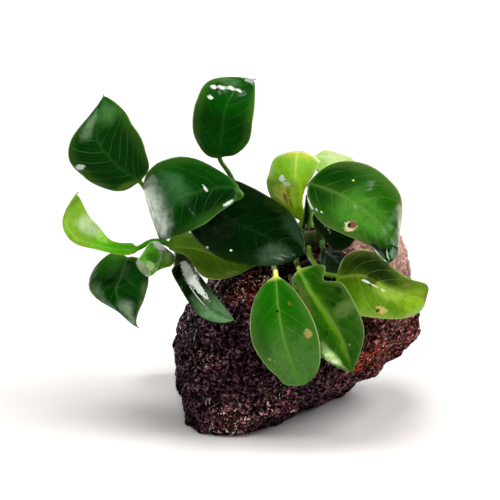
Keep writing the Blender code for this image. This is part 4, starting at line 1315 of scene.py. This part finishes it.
def surroundings(world):
    """A pale studio: white to every camera view. What mirrors it sees a bright wall at the left, a lower and
    paler one at the right, a pale back, and darkness in front and above."""
    f = Finish("studio", world)
    x, y, z = f.parts(f.node("ShaderNodeTexCoord", out="Generated"))
    left = f.step(x, -0.4, -0.95) * f.step(y, -0.5, 0.0) * WALL_LEFT
    right = f.step(x, 0.75, 0.92) * f.step(z, 0.35, 0.15) * WALL_RIGHT
    back = f.step(y, 0.15, 0.5)
    walls = (left + right + back) * f.step(z, 0.62, 0.48) + 0.02
    path = f.node("ShaderNodeLightPath", out="Is Camera Ray").socket.node
    seen, mirrored = (Wire(f, path.outputs[name]) for name in ("Is Camera Ray", "Is Glossy Ray"))
    light = walls * mirrored + seen + (1 - seen) * (1 - mirrored) * 0.04
    return f.end(color=f.grey(light))


def floor_finish(colour):
    """A matt white sheet; what mirrors it sees it end a hand's width in front of the plant, and sees the
    bright walls stand on it at the left and at the right."""
    f = Finish("matt_floor")
    x, y, _ = f.parts(f.where())
    mirrored = f.node("ShaderNodeLightPath", out="Is Glossy Ray")
    ends = mirrored * f.step(y, -0.02, -0.07)
    wall = (f.step(x, -0.2, -0.32) * WALL_LEFT + f.step(x, 0.15, 0.3) * 2.0) * f.step(y, -0.13, -0.08)
    glow = wall * mirrored
    return f.end(base_color=f.mix(colour, (0.01, 0.01, 0.01), ends), roughness=0.6,
                 specular_ior_level=0.0, emission_strength=1.0, emission_color=f.grey(glow))


class PLANT_OT_stage(bpy.types.Operator):
    """Makes the floor, the lights and the camera"""

    bl_idname = "plant.stage"
    bl_label = "Floor, lights and camera"

    def execute(self, context):
        settings = context.scene.plant_stage
        scene = context.scene
        mesh = bpy.data.meshes.new("floor")
        mesh.from_pydata([(x * FLOOR_REACH, y * FLOOR_REACH, FLOOR_LEVEL)
                          for x, y in ((-1, -1), (1, -1), (1, 1), (-1, 1))], [], [(0, 1, 2, 3)])
        floor = bpy.data.objects.new("floor", mesh)
        scene.collection.objects.link(floor)
        mesh.materials.append(floor_finish(tuple(settings.floor_colour)))

        lights = (("high_light", "SUN", (-0.3, -0.15, 2.0), settings.high_strength, 35.0),
                  ("right_light", "SUN", (1.0, -0.2, 1.2), settings.right_strength, 35.0),
                  ("front_light", "SUN", (0.0, -1.0, 0.9), settings.front_strength, 50.0),
                  ("top_light", "AREA", (0.2, -0.4, 0.92), settings.top_power, 0.1))
        for light in lights:
            add_light(*light)
        scene.world = scene.world or bpy.data.worlds.new("studio")
        surroundings(scene.world)
        scene.view_settings.view_transform = "Standard"

        toward = np.array([0, -math.cos(VIEW_TILT), math.sin(VIEW_TILT)])
        target = np.array([TARGET_ACROSS, 0, 0]) + UP * TARGET_UP
        data = bpy.data.cameras.new("camera")
        data.lens = settings.focal_length
        data.sensor_width = 36.0
        camera = bpy.data.objects.new("camera", data)
        scene.collection.objects.link(camera)
        camera.location = target + toward * CAMERA_DISTANCE * settings.focal_length / FOCAL_LENGTH
        aim(camera, -toward)
        data.clip_start, data.clip_end = 0.05, 20.0
        scene.camera = camera
        return {"FINISHED"}


class PLANT_PT_panel(bpy.types.Panel):
    """Lists the pieces and their settings"""

    bl_label = "Anubias on stone"
    bl_idname = "PLANT_PT_panel"
    bl_space_type = "VIEW_3D"
    bl_region_type = "UI"
    bl_category = "Plant"

    def draw(self, context):
        for group in (context.scene.plant, context.scene.plant_stone, context.scene.plant_stage):
            box = self.layout.box()
            for name in group.__annotations__:
                box.prop(group, name)
        for made in OPERATORS:
            self.layout.operator(made.bl_idname)


OPERATORS = (PLANT_OT_leaves, PLANT_OT_stem, PLANT_OT_roots, PLANT_OT_stone, PLANT_OT_stage)
GROUPS = {"plant": PlantSettings, "plant_stone": StoneSettings, "plant_stage": StageSettings}


def register():
    for cls in (*GROUPS.values(), *OPERATORS, PLANT_PT_panel):
        bpy.utils.register_class(cls)
    for name, cls in GROUPS.items():
        setattr(bpy.types.Scene, name, bpy.props.PointerProperty(type=cls))


def unregister():
    for name in GROUPS:
        delattr(bpy.types.Scene, name)
    for cls in (PLANT_PT_panel, *reversed(OPERATORS), *GROUPS.values()):
        bpy.utils.unregister_class(cls)


def main():
    register()
    bpy.ops.plant.leaves()
    bpy.ops.plant.stem()
    bpy.ops.plant.roots()
    bpy.ops.plant.stone()
    bpy.ops.plant.stage()
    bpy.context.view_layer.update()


if __name__ == "__main__":
    main()
